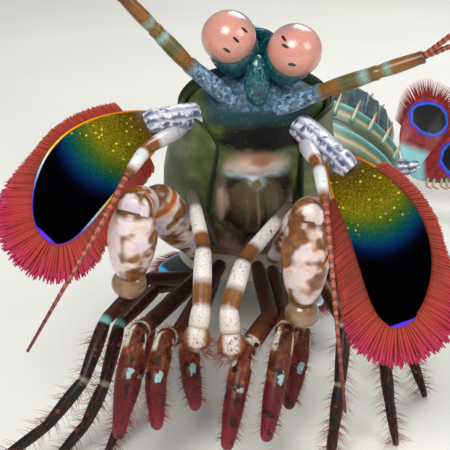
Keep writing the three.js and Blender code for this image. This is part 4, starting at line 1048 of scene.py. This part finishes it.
class SHRIMP_OT_head(PieceOperator, bpy.types.Operator):
    """Carapace, mouth field and rostral plate"""

    bl_idname = "shrimp.head"
    bl_label = "Head"

    # Soft swellings and firm domes of the mouth field: distance along and across, half sizes, and height
    SWELLINGS = [(5.9, 0.0, 1.3, 2.1, 0.7), (16.4, 0.9, 0.9, 0.7, 0.5), (16.4, -0.9, 0.9, 0.7, 0.5),
                 (7.4, 3.6, 3.0, 0.5, 0.5), (7.4, -3.6, 3.0, 0.5, 0.5), (3.0, 0.0, 0.9, 4.0, -0.35),
                 (7.5, -0.4, 0.35, 0.4, 0.5)]
    DOMES = [(10.9, 0.0, 3.5, 2.6, 1.9), (15.1, 1.7, 1.9, 1.5, 1.1), (15.1, -1.7, 1.9, 1.5, 1.1),
             (11.0, 3.1, 2.3, 0.6, 0.8), (11.0, -3.1, 2.3, 0.6, 0.8), (10.8, 0.0, 2.6, 0.4, 2.15)]

    def execute(self, context):
        self.carapace()
        self.mouth_field()
        self.rostral_plate()
        return {"FINISHED"}

    def carapace(self):
        """A shield bent round the back of the head, open along the mouth side, with grooves down its back."""
        v = np.linspace(0, 1, 70)[:, None]
        across = np.linspace(-1, 1, 110)[None, :]
        angle = math.pi / 2 - across * (math.pi / 2 + 1.0)
        edge = np.abs(np.cos(angle)) ** 4
        corner = 3.2 * np.abs(across) ** 12
        s = mix(0.3 + 0.9 * edge + corner, CARAPACE_LENGTH - 0.15 - 1.4 * edge, v)
        a = CARAPACE_HALF_WIDTH * carapace_swell(v)
        rise = CARAPACE_RISE * carapace_swell(v)
        relief = (-0.22 * bell(across, 0.26, 0.02) - 0.22 * bell(across, -0.26, 0.02)) * step(v, 0.95, 0.6)
        relief = relief - 0.15 * bell(v, 0.62, 0.02) * bell(across, 0, 0.3) + 0.16 * bell(v, 0.985, 0.02)
        taper = 1 - np.maximum(np.abs(across), np.abs(2 * v - 1)) ** 30 * 0.75

        def at(wall):
            height = np.where(np.sin(angle) > 0, rise, CARAPACE_DEPTH) + wall
            return on_body(s, (a + wall) * np.cos(angle), height * np.sin(angle))

        outer = at(relief)
        inner = at(-CARAPACE_WALL * taper)
        rim = np.maximum(np.abs(across), np.abs(2 * v - 1))
        place = stacked(s, across * a, rim)
        make("carapace_shield", [slab(outer, inner, place)], "wet_olive_shell", "shell_olive", "carapace")

    def mouth_field(self):
        """The fleshy front inside the shield, swollen by bell curves where the mouth parts are."""
        s = np.concatenate([np.linspace(-2.9, 0.4, 30), np.linspace(0.5, 17.7, 150)])
        v = np.clip(s / CARAPACE_LENGTH, 0, 1)
        opening = step(s, -2.9, 1.6) ** 0.6

        def within(size):
            return np.maximum(opening * (size - FACE_GAP), FACE_LEAST)

        a = within(CARAPACE_HALF_WIDTH * carapace_swell(v)) * mix(0.6, 1, step(s, -2.0, 1.5))
        rise = within(CARAPACE_RISE * carapace_swell(v))
        depth = within(CARAPACE_DEPTH)
        middle, _, left, dorsal = body_frames(s)
        rings = tube(middle, left, dorsal, a, rise, 180, depth)
        c, sn = circle(180)
        x = a[:, None] * c[None]
        swell = np.zeros_like(x)
        for at_s, at_x, wide_s, wide_x, height in self.SWELLINGS:
            swell = swell + height * bell(s[:, None], at_s, wide_s) * bell(x, at_x, wide_x)
        for at_s, at_x, wide_s, wide_x, height in self.DOMES:
            inside = 1 - ((s[:, None] - at_s) / wide_s) ** 2 - ((x - at_x) / wide_x) ** 2
            swell = np.maximum(swell, height * np.maximum(inside, 0) ** 0.6 + swell * 0.3)
        swell = swell * step(-sn[None], 0.05, 0.5)
        rings = rings - dorsal[:, None] * swell[..., None]
        place = stacked(x, s[:, None], swell)
        make("mouth_field", [wrap(rings, place)], "mouth_field", "shell_olive", "head")

    def rostral_plate(self):
        """A small pointed plate over the eye stalks."""
        f = np.linspace(0, 1, 40)
        s = mix(-0.2, -3.9, f)
        a = 2.9 * (1 - f ** 2.2) ** 0.6 + 0.1
        _, _, left, dorsal = body_frames(s)
        middle = on_body(s, 0 * s, 3.6 + 0 * s)
        thick = 0.32 + 0 * s
        c, _ = circle(40)
        place = stacked(f[:, None], c[None], np.full((40, 1), 0.6))
        shape = wrap(tube(middle, left, dorsal, a, thick, 40), place)
        make("rostral_plate_skin", [shape], "eyestalk_skin", "shell_teal", "rostral_plate")


class SHRIMP_OT_feelers(PieceOperator, bpy.types.Operator):
    """Antennules and antennae"""

    bl_idname = "shrimp.feelers"
    bl_label = "Feelers"

    # Radii at the joints, in mm, and the place in the head where both antennules start
    ANTENNULE_RADII = [0.9, 0.72, 0.64, 0.56]
    ANTENNA_RADII = [0.75, 0.6, 0.42]
    HEAD_MIDDLE = (2.6, 4.4, 29.6)

    def execute(self, context):
        for side, _ in SIDES:
            joints = ANTENNULES[side]["joints"]
            start = mix(np.array(joints[0]), np.array(self.HEAD_MIDDLE), 0.45)
            stalk = limb([start, *joints[1:]], self.ANTENNULE_RADII, per=24, around=24, neck=0.78,
                         collar=0.12)
            flagella = []
            for end in ANTENNULES[side]["ends"]:
                start = mix(np.array(joints[3]), np.array(joints[2]), 0.1)
                bend = mix(np.array(joints[3]), np.array(end), 0.45) + (0, 0, 0.8)
                flagella.append(feeler([start, bend, end], 0.24, 0.08, rows=160, beads=0.1,
                                       bead_length=0.45))
            make(f"antennule_stalk_{side}", [stalk], "antennule_shell", "feeler_gold", f"antennule_{side}")
            make(f"antennule_flagella_{side}", flagella, "red_flagellum", "feeler_gold")
            points = ANTENNAE[side]
            stem = limb(points[:3], self.ANTENNA_RADII, per=22, around=20)
            start = mix(np.array(points[1]), np.array(points[2]), 0.8)
            whip = feeler([start, *points[2:]], 0.27, 0.12, rows=260, beads=0.08, bead_length=0.4)
            make(f"antenna_stem_{side}", [stem], "antenna_shell", "feeler_red", f"antenna_{side}")
            make(f"antenna_whip_{side}", [whip], "red_flagellum", "feeler_red")
        return {"FINISHED"}


def scale_fringe_length(v, outer_side):
    """Length of the bristles in mm: 1 on the outer side, 0.7 and up on the inner, rising to 3 at the tip."""
    outer = mix(1.0, 3.0, step(v, 0.6, 1.0))
    inner = mix(0.7 + 2.0 * v, 3.0, step(v, 0.7, 1))
    return np.where(outer_side, outer, inner)


class SHRIMP_OT_scales(PieceOperator, bpy.types.Operator):
    """Antennal scales: speckled blades with a fringe of red bristles"""

    bl_idname = "shrimp.scales"
    bl_label = "Antennal Scales"

    # Where the fringe starts and ends on the rim, which runs from the outer base (0) over the tip (1)
    FRINGE = (0.08, 1.86)

    def execute(self, context):
        half_width = settings().scale_half_width / MM
        count = settings().bristles
        for side, _ in SIDES:
            part = SCALES[side]
            blade = Blade(part["base"], part["tip"], part["outer"], half_width, bow=1.6, dome=0.7)
            make(f"scale_blade_{side}", [blade.surface()], "speckled_blade", "antennal_blade",
                 f"antennal_scale_{side}")
            foot = limb([part["root"], part["base"], blade.at(0.1, 0.1)], [1.2, 1.15, 1.0], per=20,
                        around=24)
            make(f"scale_foot_{side}", [foot], "antennal_foot", "antennal_blade")
            vanes = bristle_fringe(blade, count, scale_fringe_length, *self.FRINGE, 11, radius=0.1,
                                   flat=0.45, spread=0.012, blunt=True)
            web = bristle_fringe(blade, count // 2, lambda v, o: 0.9 * scale_fringe_length(v, o),
                                 *self.FRINGE, 12, radius=0.19, flat=0.12, spread=0.0, blunt=True, lift=0.0)
            make(f"scale_bristles_{side}", [vanes, web], "red_bristle", "antennal_blade")
        return {"FINISHED"}


class SHRIMP_OT_claws(PieceOperator, bpy.types.Operator):
    """Raptorial claws: merus, carpus, propodus and clubbed dactyl"""

    bl_idname = "shrimp.claws"
    bl_label = "Claws"

    # Share along each piece, and radius there in mm
    MERUS = [(0, 0.8), (0.18, 1.0), (0.45, 1.7), (0.75, 1.95), (0.94, 1.6), (1.04, 0.8)]
    PALM = [(0, 1.1), (0.12, 1.7), (0.4, 2.05), (0.72, 1.75), (0.95, 1.15), (1.02, 0.7)]
    CARPUS = [(0.3, 1.0), (0.65, 1.5), (1.0, 1.45), (1.15, 0.9)]
    HEEL_DROP = {"R": 0.9, "L": 1.4}

    def execute(self, context):
        for side, _ in SIDES:
            root, elbow, wrist, end = (np.array(CLAWS[side][k]) for k in ("root", "elbow", "wrist", "end"))
            up = unit(wrist - end)
            inward = unit((root - elbow) * (1, 1, 0))
            merus = self.swollen([root, elbow], self.MERUS, 0.75, (0.3, -1, 0), 1.0)
            make(f"claw_merus_{side}", [merus], "porcelain_claw", "claw_cream", f"raptorial_merus_{side}")
            palm = self.swollen([wrist, end], self.PALM, 0.85, (0, -1, 0))
            carpus = self.swollen([elbow, wrist], self.CARPUS, 1.0, (0, -1, 0.2), 1.0)
            make(f"claw_palm_{side}", [palm, carpus], "porcelain_claw", "claw_cream",
                 f"raptorial_propodus_{side}")
            heel = end - up * self.HEEL_DROP[side] + (0, 0.5, 0)
            club = globe(heel, (1.5, 1.3, 1.35), rows=40, around=48)
            middle = end + up * 1.2 + inward * 1.9
            tip = end + up * 5.6 + inward * 2.3
            finger = feeler([heel + inward * 0.9, middle, tip], 0.75, 0.14, rows=50, around=16)
            make(f"claw_club_{side}", [club, finger], "polished_club", "claw_cream",
                 f"raptorial_dactyl_{side}")
        return {"FINISHED"}

    def swollen(self, ends, stations, flat, hint, ring=0.0):
        """A swollen claw piece: its radius follows a smooth curve through the stations."""
        f = np.linspace(stations[0][0], stations[-1][0], 60)
        knots = np.array([(x, r, 0.0) for x, r in stations])
        curve, _ = smooth_path(knots, 400)
        r = np.interp(f, curve[:, 0], curve[:, 1])
        path = ends[0] + (ends[1] - ends[0]) * f[:, None]
        side, up = rod_frames(path, np.array(hint, float))
        c, _ = circle(48)
        place = stacked(f[:, None], c[None], np.full((60, 1), ring))
        return wrap(tube(path, side, up, r, r * flat, 48), place)


def limb_bristles(joints, first, last, count, length, seed, radius=0.03, reach=0.55):
    """Bristles along the lower pieces of a limb, standing out and leaning to its tip."""
    joints = np.asarray(joints, float)
    random = np.random.default_rng(seed)
    share = random.uniform(first, last, count)
    i = np.minimum(share.astype(int), len(joints) - 2)
    f = (share - i)[:, None]
    middle = joints[i] + (joints[i + 1] - joints[i]) * f
    along = unit(joints[i + 1] - joints[i])
    around = random.normal(0, 1, (count, 3))
    out = unit(around - along * np.sum(around * along, axis=1, keepdims=True))
    direction = unit(out + along * random.uniform(0.1, 0.7, (count, 1)))
    size = length * random.uniform(0.6, 1.2, count)
    uv = np.stack([0.1 + 0.8 * random.random(count), 0.05 + 0.9 * share / len(joints)], axis=1)
    tone = random.uniform(0, 0.5, count)
    return strands(middle + out * reach, direction, along * 0.15, size, np.full(count, radius), uv, tone,
                   segments=3, around=3)


class SHRIMP_OT_limbs(PieceOperator, bpy.types.Operator):
    """Maxillipeds and walking legs with their bristles"""

    bl_idname = "shrimp.limbs"
    bl_label = "Limbs"

    # Radii at the joints, in mm
    SLENDER_RADII = [0.5, 0.5, 0.72, 0.84, 0.86]
    HAND_RADII = [0.7, 0.8, 0.88, 0.98, 0.62]
    LEG_RADII = [0.75, 0.7, 0.66, 0.6, 0.56, 0.3]

    def execute(self, context):
        for side, _ in SIDES:
            joints = MAXILLIPEDS_1[side]
            slender = limb(joints, self.SLENDER_RADII, per=20, around=24, neck=0.82)
            pad = globe(joints[-1], (1.15, 0.9, 1.25), rows=30, around=32)
            # Painted shade: the pad runs to brown toward its left and right sides, and is browner underneath
            shade = 3.45 + 0.45 * np.abs(pad[3][:, :1]) ** 1.5 + 0.2 * (pad[3][:, 2:] < -0.3)
            pad = (*pad[:3], np.hstack([shade, pad[3][:, 1:]]))
            make(f"slender_limb_{side}", [slender, pad], "banded_slender_limb", "claw_cream",
                 f"maxilliped_1_{side}")
            brush = limb_bristles([joints[-2], joints[-1], np.array(joints[-1]) - (0, 0.4, 1.6)], 0.8, 1.9,
                                  130, 1.0, 5, reach=0.8)
            make(f"slender_limb_brush_{side}", [brush], "red_bristle", "claw_cream")
            for number, pair in MAXILLIPEDS.items():
                hand = limb(pair[side], self.HAND_RADII, per=24, around=28, neck=0.82)
                end = globe(pair[side][-1], (0.56, 0.56, 0.7), rows=16, around=24)
                end = (*end[:3], np.hstack([np.full((len(end[0]), 1), 4.0), end[3][:, 1:]]))
                make(f"hand_{number}_{side}", [hand, end], "blotched_hand", "limb_brown",
                     f"maxilliped_{number}_{side}")
                fuzz = limb_bristles(pair[side], 1.5, 3.98, 620, 0.8, 20 + number, radius=0.022, reach=0.62)
                make(f"hand_bristles_{number}_{side}", [fuzz], "red_bristle", "limb_brown")
            for number, pair in WALKING_LEGS.items():
                leg = limb(pair[side], self.LEG_RADII, per=18, around=20)
                make(f"leg_{number}_{side}", [leg], "dark_walking_leg", "limb_brown",
                     f"walking_leg_{number}_{side}")
                fuzz = limb_bristles(pair[side], 2.2, 4.9, 300, 1.4, 30 + number, radius=0.026, reach=0.35)
                make(f"leg_bristles_{number}_{side}", [raised(fuzz, 0.05)], "red_bristle", "limb_brown")
        return {"FINISHED"}


def width_at(i):
    """Half width of the abdomen, in mm, where somite i starts."""
    wide = mix(7.2, 8.2, step(np.asarray(i, float), 0, 2.5))
    return wide * mix(1, 0.93, step(np.asarray(i, float), 4, 6))


class SHRIMP_OT_trunk(PieceOperator, bpy.types.Operator):
    """Free thorax, abdomen and telson"""

    bl_idname = "shrimp.trunk"
    bl_label = "Trunk"

    # Name, start and end as shares of the free thorax, then half width, rise and depth at both ends
    THORAX = [("thorax_5_6", 0, 0.5, (5.6, 6.2), (3.5, 3.4), (3.1, 2.8)),
              ("thorax_7", 0.5, 0.75, (6.2, 6.6), (3.4, 3.4), (2.8, 2.6)),
              ("thorax_8", 0.75, 1, (6.6, 7.0), (3.4, 3.4), (2.6, 2.6))]
    SPINES = (-0.82, -0.5, -0.17, 0.17, 0.5, 0.82)
    # Share along the telson, half width and height
    TELSON = [(0, 5.6, 2.2), (0.22, 6.4, 2.2), (0.54, 6.3, 1.9), (0.82, 4.9, 1.4), (1, 2.6, 0.8)]
    # Place across and height of each keel, and place across, share along and reach of each tooth
    KEELS = ((0, 0.55), (2.6, 0.4), (-2.6, 0.4), (4.6, 0.3), (-4.6, 0.3))
    TEETH = ((-5.6, 0.62, 1.6), (-3.6, 0.84, 2.2), (-1.4, 0.9, 2.4), (1.4, 0.9, 2.4), (3.6, 0.84, 2.2),
             (5.6, 0.62, 1.6))

    def execute(self, context):
        for name, low, high, wide, rise, depth in self.THORAX:
            start, end = (CARAPACE_LENGTH + f * THORAX_LENGTH for f in (low, high))
            self.somite(name, start, end, wide, rise, depth)
        for i in range(SOMITES):
            start = ABDOMEN_START + i * SOMITE_LENGTH
            self.somite(f"abdomen_{i + 1}", start, start + SOMITE_LENGTH, (width_at(i), width_at(i + 1)),
                        (ABDOMEN_RISE,) * 2, (ABDOMEN_DEPTH,) * 2)
        self.spines()
        self.telson()
        return {"FINISHED"}

    def somite(self, name, start, end, wide, rise, depth):
        """A plate round the body, with a groove near its front and a raised rim at its rear."""
        f = np.linspace(0, 1, 46)
        s = mix(start + 0.03, end - 0.03, f)
        flare = mix(0.93, 1.02, step(f, 0, 0.6)) + 0.02 * bell(f, 0.95, 0.05) - 0.025 * bell(f, 0.22, 0.03)
        flare = flare * (1 - 0.06 * step(f, 0.975, 1.0))
        a, h, d = (mix(size[0], size[1], f) * flare for size in (wide, rise, depth))
        middle, _, left, dorsal = body_frames(s)
        c, sn = circle(96)
        rings = tube(middle, left, dorsal, a, h, 96, d)
        keel = 0.12 * bell(np.abs(c[None]), 0.86, 0.05) * (sn[None] > 0) * step(f, 0.1, 0.5)[:, None]
        rings = rings + dorsal[:, None] * keel[..., None]
        place = stacked(f[:, None], np.abs(c)[None], sn[None])
        make(f"{name}_plate", [wrap(rings, place)], "green_body_plate", "abdomen_shell", name)

    def spines(self):
        """Six spines on the rear edge of the last somite."""
        start = TELSON_START - SOMITE_LENGTH
        shapes = []
        for across in self.SPINES:
            a = width_at(SOMITES) * across
            rise = ABDOMEN_RISE * math.sqrt(1 - across * across) * 1.02
            root = on_body(start + 2.4, a, rise - 0.15)
            tip = on_body(start + SOMITE_LENGTH + 1.5, a * 1.08, rise + 0.9)
            middle = mix(root, tip, 0.6) + (0, 0, 0.1)
            shapes.append(feeler([root, middle, tip], 0.42, 0.05, rows=24, around=14))
        make("somite_spines", shapes, "orange_tipped_spine", "abdomen_shell")

    def telson(self):
        """A domed shield with raised keels, and teeth along its rear edge."""
        f = np.linspace(0, 1, 80)
        s = mix(TELSON_START + 0.1, TELSON_START + 0.92 * TELSON_LENGTH, f)
        curve, _ = smooth_path(self.TELSON, 300)
        a = np.interp(f, curve[:, 0], curve[:, 1])
        h = np.interp(f, curve[:, 0], curve[:, 2])
        middle, _, left, dorsal = body_frames(s)
        c, sn = circle(120)
        rings = tube(middle, left, dorsal, a, h, 120, h * 0.6)
        x = a[:, None] * c[None]
        keel = sum(height * bell(x, at * (1 - 0.25 * f[:, None]), 0.3)
                   for at, height in self.KEELS)
        keel = keel * (sn[None] > 0.05) * step(f, 0.04, 0.15)[:, None] * step(f, 1.0, 0.8)[:, None]
        rings = rings + dorsal[:, None] * keel[..., None]
        place = stacked(0.8 * f[:, None], c[None], keel)
        make("telson_shield", [wrap(rings, place)], "dark_tail_shield", "abdomen_shell", "telson")
        start, end = TELSON_START + 0.15, TELSON_START + TELSON_LENGTH
        teeth = []
        for x, share, reach in self.TEETH:
            at = mix(start, end, share)
            root, tip = on_body(at - 0.8, x * 0.86, 0.0), on_body(at + reach, x, 0.2)
            teeth.append(feeler([root, mix(root, tip, 0.5), tip], 0.6, 0.06, rows=20, around=14))
        make("telson_teeth", teeth, "orange_tipped_spine", "abdomen_shell")


def paddle_fringe_length(v, _):
    """Length of a paddle's bristles in mm, the same on both sides."""
    return mix(1.2, 2.4, step(v, 0.5, 1))


class SHRIMP_OT_tail_fan(PieceOperator, bpy.types.Operator):
    """Uropods: red paddles with blue-ringed spots, spines and bristles"""

    bl_idname = "shrimp.tail_fan"
    bl_label = "Tail Fan"

    # The knee, the tips that both paddles point to, how far the inner one lies above, and the tilt
    UROPODS = {
        "R": dict(knee=(9.2, 57.6, 12.0), outer=(5.2, 68.0, 13.6), inner=(10.6, 68.6, 14.2), lift=0.9,
                  tilt=2.5),
        "L": dict(knee=(25.2, 52.6, 5.2), outer=(36.4, 49.5, 8.9), inner=(28.6, 57.0, 13.4), lift=1.0,
                  tilt=0.6),
    }

    def execute(self, context):
        for side, sign in SIDES:
            part = self.UROPODS[side]
            root = on_body(TELSON_START - 1.2, 5.8 * sign, -1.9)
            knee = np.array(part["knee"])
            _, _, _, dorsal = body_frames(TELSON_START)
            facing = unit(np.array([0, -0.75, 0.65]) + dorsal * part["tilt"])
            exopod = self.paddle(knee, part["outer"], 11.0, 3.5, facing, sign)
            endopod = self.paddle(knee + facing * part["lift"], part["inner"], 9.6, 3.15, facing, sign)
            foot = limb([root, knee, exopod.at(0.14, 0.0)], [1.5, 1.3, 0.9], per=20, around=24)
            make(f"exopod_paddle_{side}", [exopod.surface(60, 60)], "red_paddle", "tail_red",
                 f"uropod_exopod_{side}")
            make(f"uropod_foot_{side}", [foot], "antennal_foot", "tail_red")
            make(f"endopod_paddle_{side}", [endopod.surface(60, 60)], "red_paddle", "tail_red",
                 f"uropod_endopod_{side}")
            at, outward, _, _, _ = exopod.rim(8, 0.12, 0.55, 3)
            spines = [feeler([p - o * 0.5, p + o * 0.5, p + o * 1.2 + exopod.along * 0.9], 0.3, 0.05,
                             rows=16, around=10)
                      for p, o in zip(at, outward)]
            make(f"exopod_spines_{side}", spines, "orange_tipped_spine", "tail_red")
            hairs = [bristle_fringe(exopod, 230, paddle_fringe_length, 0.5, 1.8, 6, radius=0.09, flat=0.3),
                     bristle_fringe(endopod, 230, paddle_fringe_length, 0.3, 1.7, 7, radius=0.09, flat=0.3)]
            make(f"paddle_bristles_{side}", hairs, "red_bristle", "tail_red")
        return {"FINISHED"}

    def paddle(self, start, tip, length, half_width, facing, sign):
        direction = unit(np.array(tip, float) - start)
        outer = np.cross(direction, facing) * sign
        return Blade(start, start + direction * length, outer, half_width, dome=0.4, base_width=0.06)


class SHRIMP_OT_swimming_legs(PieceOperator, bpy.types.Operator):
    """Pleopods: black plates with a blue rim and red bristles"""

    bl_idname = "shrimp.swimming_legs"
    bl_label = "Swimming Legs"

    # How far each pair points forward, spreads and drops
    PAIRS = [(1, 0.75, -0.3), (0.25, 0.8, -0.55), (-0.6, 0.35, -0.5), (-0.75, 0.3, -0.5),
             (-0.85, 0.25, -0.45)]

    def execute(self, context):
        for i, (forward, spread, drop) in enumerate(self.PAIRS):
            for side, sign in SIDES:
                s = ABDOMEN_START + (i + 0.5) * SOMITE_LENGTH
                _, along, left, dorsal = body_frames(s)
                start = on_body(s, 4.6 * sign, -1.6) - dorsal * 0.6
                direction = unit(-along * forward + left * spread * sign + (0, 0, drop))
                outer = left * sign + along * (0.6 if forward > 0 else 0.1)
                blade = Blade(start, start + direction * 7.4, outer, 2.8, dome=0.4, base_width=0.08)
                plate = blade.surface(44, 48)
                make(f"swimming_plate_{i + 1}_{side}", [raised(plate, 0.02)], "black_swimming_plate",
                     "pleopod_black", f"pleopod_{i + 1}_{side}")
                fringe = bristle_fringe(blade, 150, lambda v, _: mix(1.0, 1.8, v), 0.3, 1.7, 40 + i,
                                        radius=0.08, flat=0.3)
                make(f"swimming_bristles_{i + 1}_{side}", [raised(fringe, 0.02)], "red_bristle",
                     "pleopod_black")
        return {"FINISHED"}


# Camera: it looks along +Y and down, and one pixel of the 450 spans PIXEL mm at the reference plane
CAMERA_TILT = math.radians(25)
CAMERA_DISTANCE = 90.0
PIXEL = 0.085
AIM = (0.0, 0.0, 21.0)
FRAME_PIXELS = 450
SENSOR_WIDTH = 36.0
STUDIO_COLOUR, STUDIO_STRENGTH = "#e8ecef", 0.34


def camera_axes():
    """The camera's right, up and backward directions."""
    right = np.array([1.0, 0.0, 0.0])
    up = np.array([0.0, math.sin(CAMERA_TILT), math.cos(CAMERA_TILT)])
    return right, up, np.array([0.0, -math.cos(CAMERA_TILT), math.sin(CAMERA_TILT)])


class SHRIMP_OT_stage(PieceOperator, bpy.types.Operator):
    """Camera, lights and floor"""

    bl_idname = "shrimp.stage"
    bl_label = "Stage"

    # Area lights: place in mm, size in mm, power in watts
    LIGHTS = [((-50, -150, 190), 110, 0.44), ((150, -90, 120), 90, 0.12), ((60, 160, 170), 110, 0.24)]

    def execute(self, context):
        scene = context.scene
        aim = (np.array(AIM) + SHIFT) * MM
        _, _, back = camera_axes()
        lens = bpy.data.cameras.new("camera")
        lens.sensor_width = SENSOR_WIDTH
        lens.lens = SENSOR_WIDTH * CAMERA_DISTANCE / (FRAME_PIXELS * PIXEL)
        lens.clip_start, lens.clip_end = 0.002, 20.0
        camera = bpy.data.objects.new("camera", lens)
        camera.location = aim + back * CAMERA_DISTANCE * MM
        camera.rotation_euler = (math.pi / 2 - CAMERA_TILT, 0, 0)
        scene.collection.objects.link(camera)
        scene.camera = camera
        for i, (place, size, power) in enumerate(self.LIGHTS):
            lamp = bpy.data.lights.new(f"light_{i}", "AREA")
            lamp.size, lamp.energy = size * MM, power
            light = bpy.data.objects.new(f"light_{i}", lamp)
            where = (np.array(place, float) + SHIFT) * MM
            light.location = where
            light.rotation_euler = Vector(aim - where).to_track_quat("-Z", "Y").to_euler()
            scene.collection.objects.link(light)
        self.floor(settings().floor_size / 2)
        scene.view_settings.view_transform = "Standard"
        world = bpy.data.worlds.new("studio")
        world.use_nodes = True
        background = world.node_tree.nodes["Background"]
        background.inputs["Color"].default_value = linear(STUDIO_COLOUR)
        background.inputs["Strength"].default_value = STUDIO_STRENGTH
        scene.world = world
        return {"FINISHED"}

    def floor(self, half):
        mesh = bpy.data.meshes.new("floor")
        mesh.from_pydata([(-half, -half, 0), (half, -half, 0), (half, half, 0), (-half, half, 0)], [],
                         [(0, 1, 2, 3)])
        mesh.materials.append(finish("pale_floor"))
        floor = bpy.data.objects.new("floor", mesh)
        bpy.context.scene.collection.objects.link(floor)


class SHRIMP_PT_panel(bpy.types.Panel):
    """Lists the sizes and the pieces"""

    bl_idname = "SHRIMP_PT_panel"
    bl_label = "Mantis Shrimp"
    bl_space_type = "VIEW_3D"
    bl_region_type = "UI"
    bl_category = "Mantis Shrimp"

    def draw(self, context):
        for name in ShrimpProperties.__annotations__:
            self.layout.prop(context.scene.mantis_shrimp, name)
        for piece in PIECES:
            self.layout.operator(piece.bl_idname)


PIECES = (SHRIMP_OT_head, SHRIMP_OT_eyes, SHRIMP_OT_feelers, SHRIMP_OT_scales, SHRIMP_OT_claws,
          SHRIMP_OT_limbs, SHRIMP_OT_trunk, SHRIMP_OT_tail_fan, SHRIMP_OT_swimming_legs, SHRIMP_OT_stage)
CLASSES = (ShrimpProperties, *PIECES, SHRIMP_PT_panel)


def register():
    for cls in CLASSES:
        bpy.utils.register_class(cls)
    bpy.types.Scene.mantis_shrimp = bpy.props.PointerProperty(type=ShrimpProperties)


def unregister():
    del bpy.types.Scene.mantis_shrimp
    for cls in reversed(CLASSES):
        bpy.utils.unregister_class(cls)


def main():
    register()
    for piece in PIECES:
        group, name = piece.bl_idname.split(".")
        getattr(getattr(bpy.ops, group), name)()


if __name__ == "__main__":
    main()
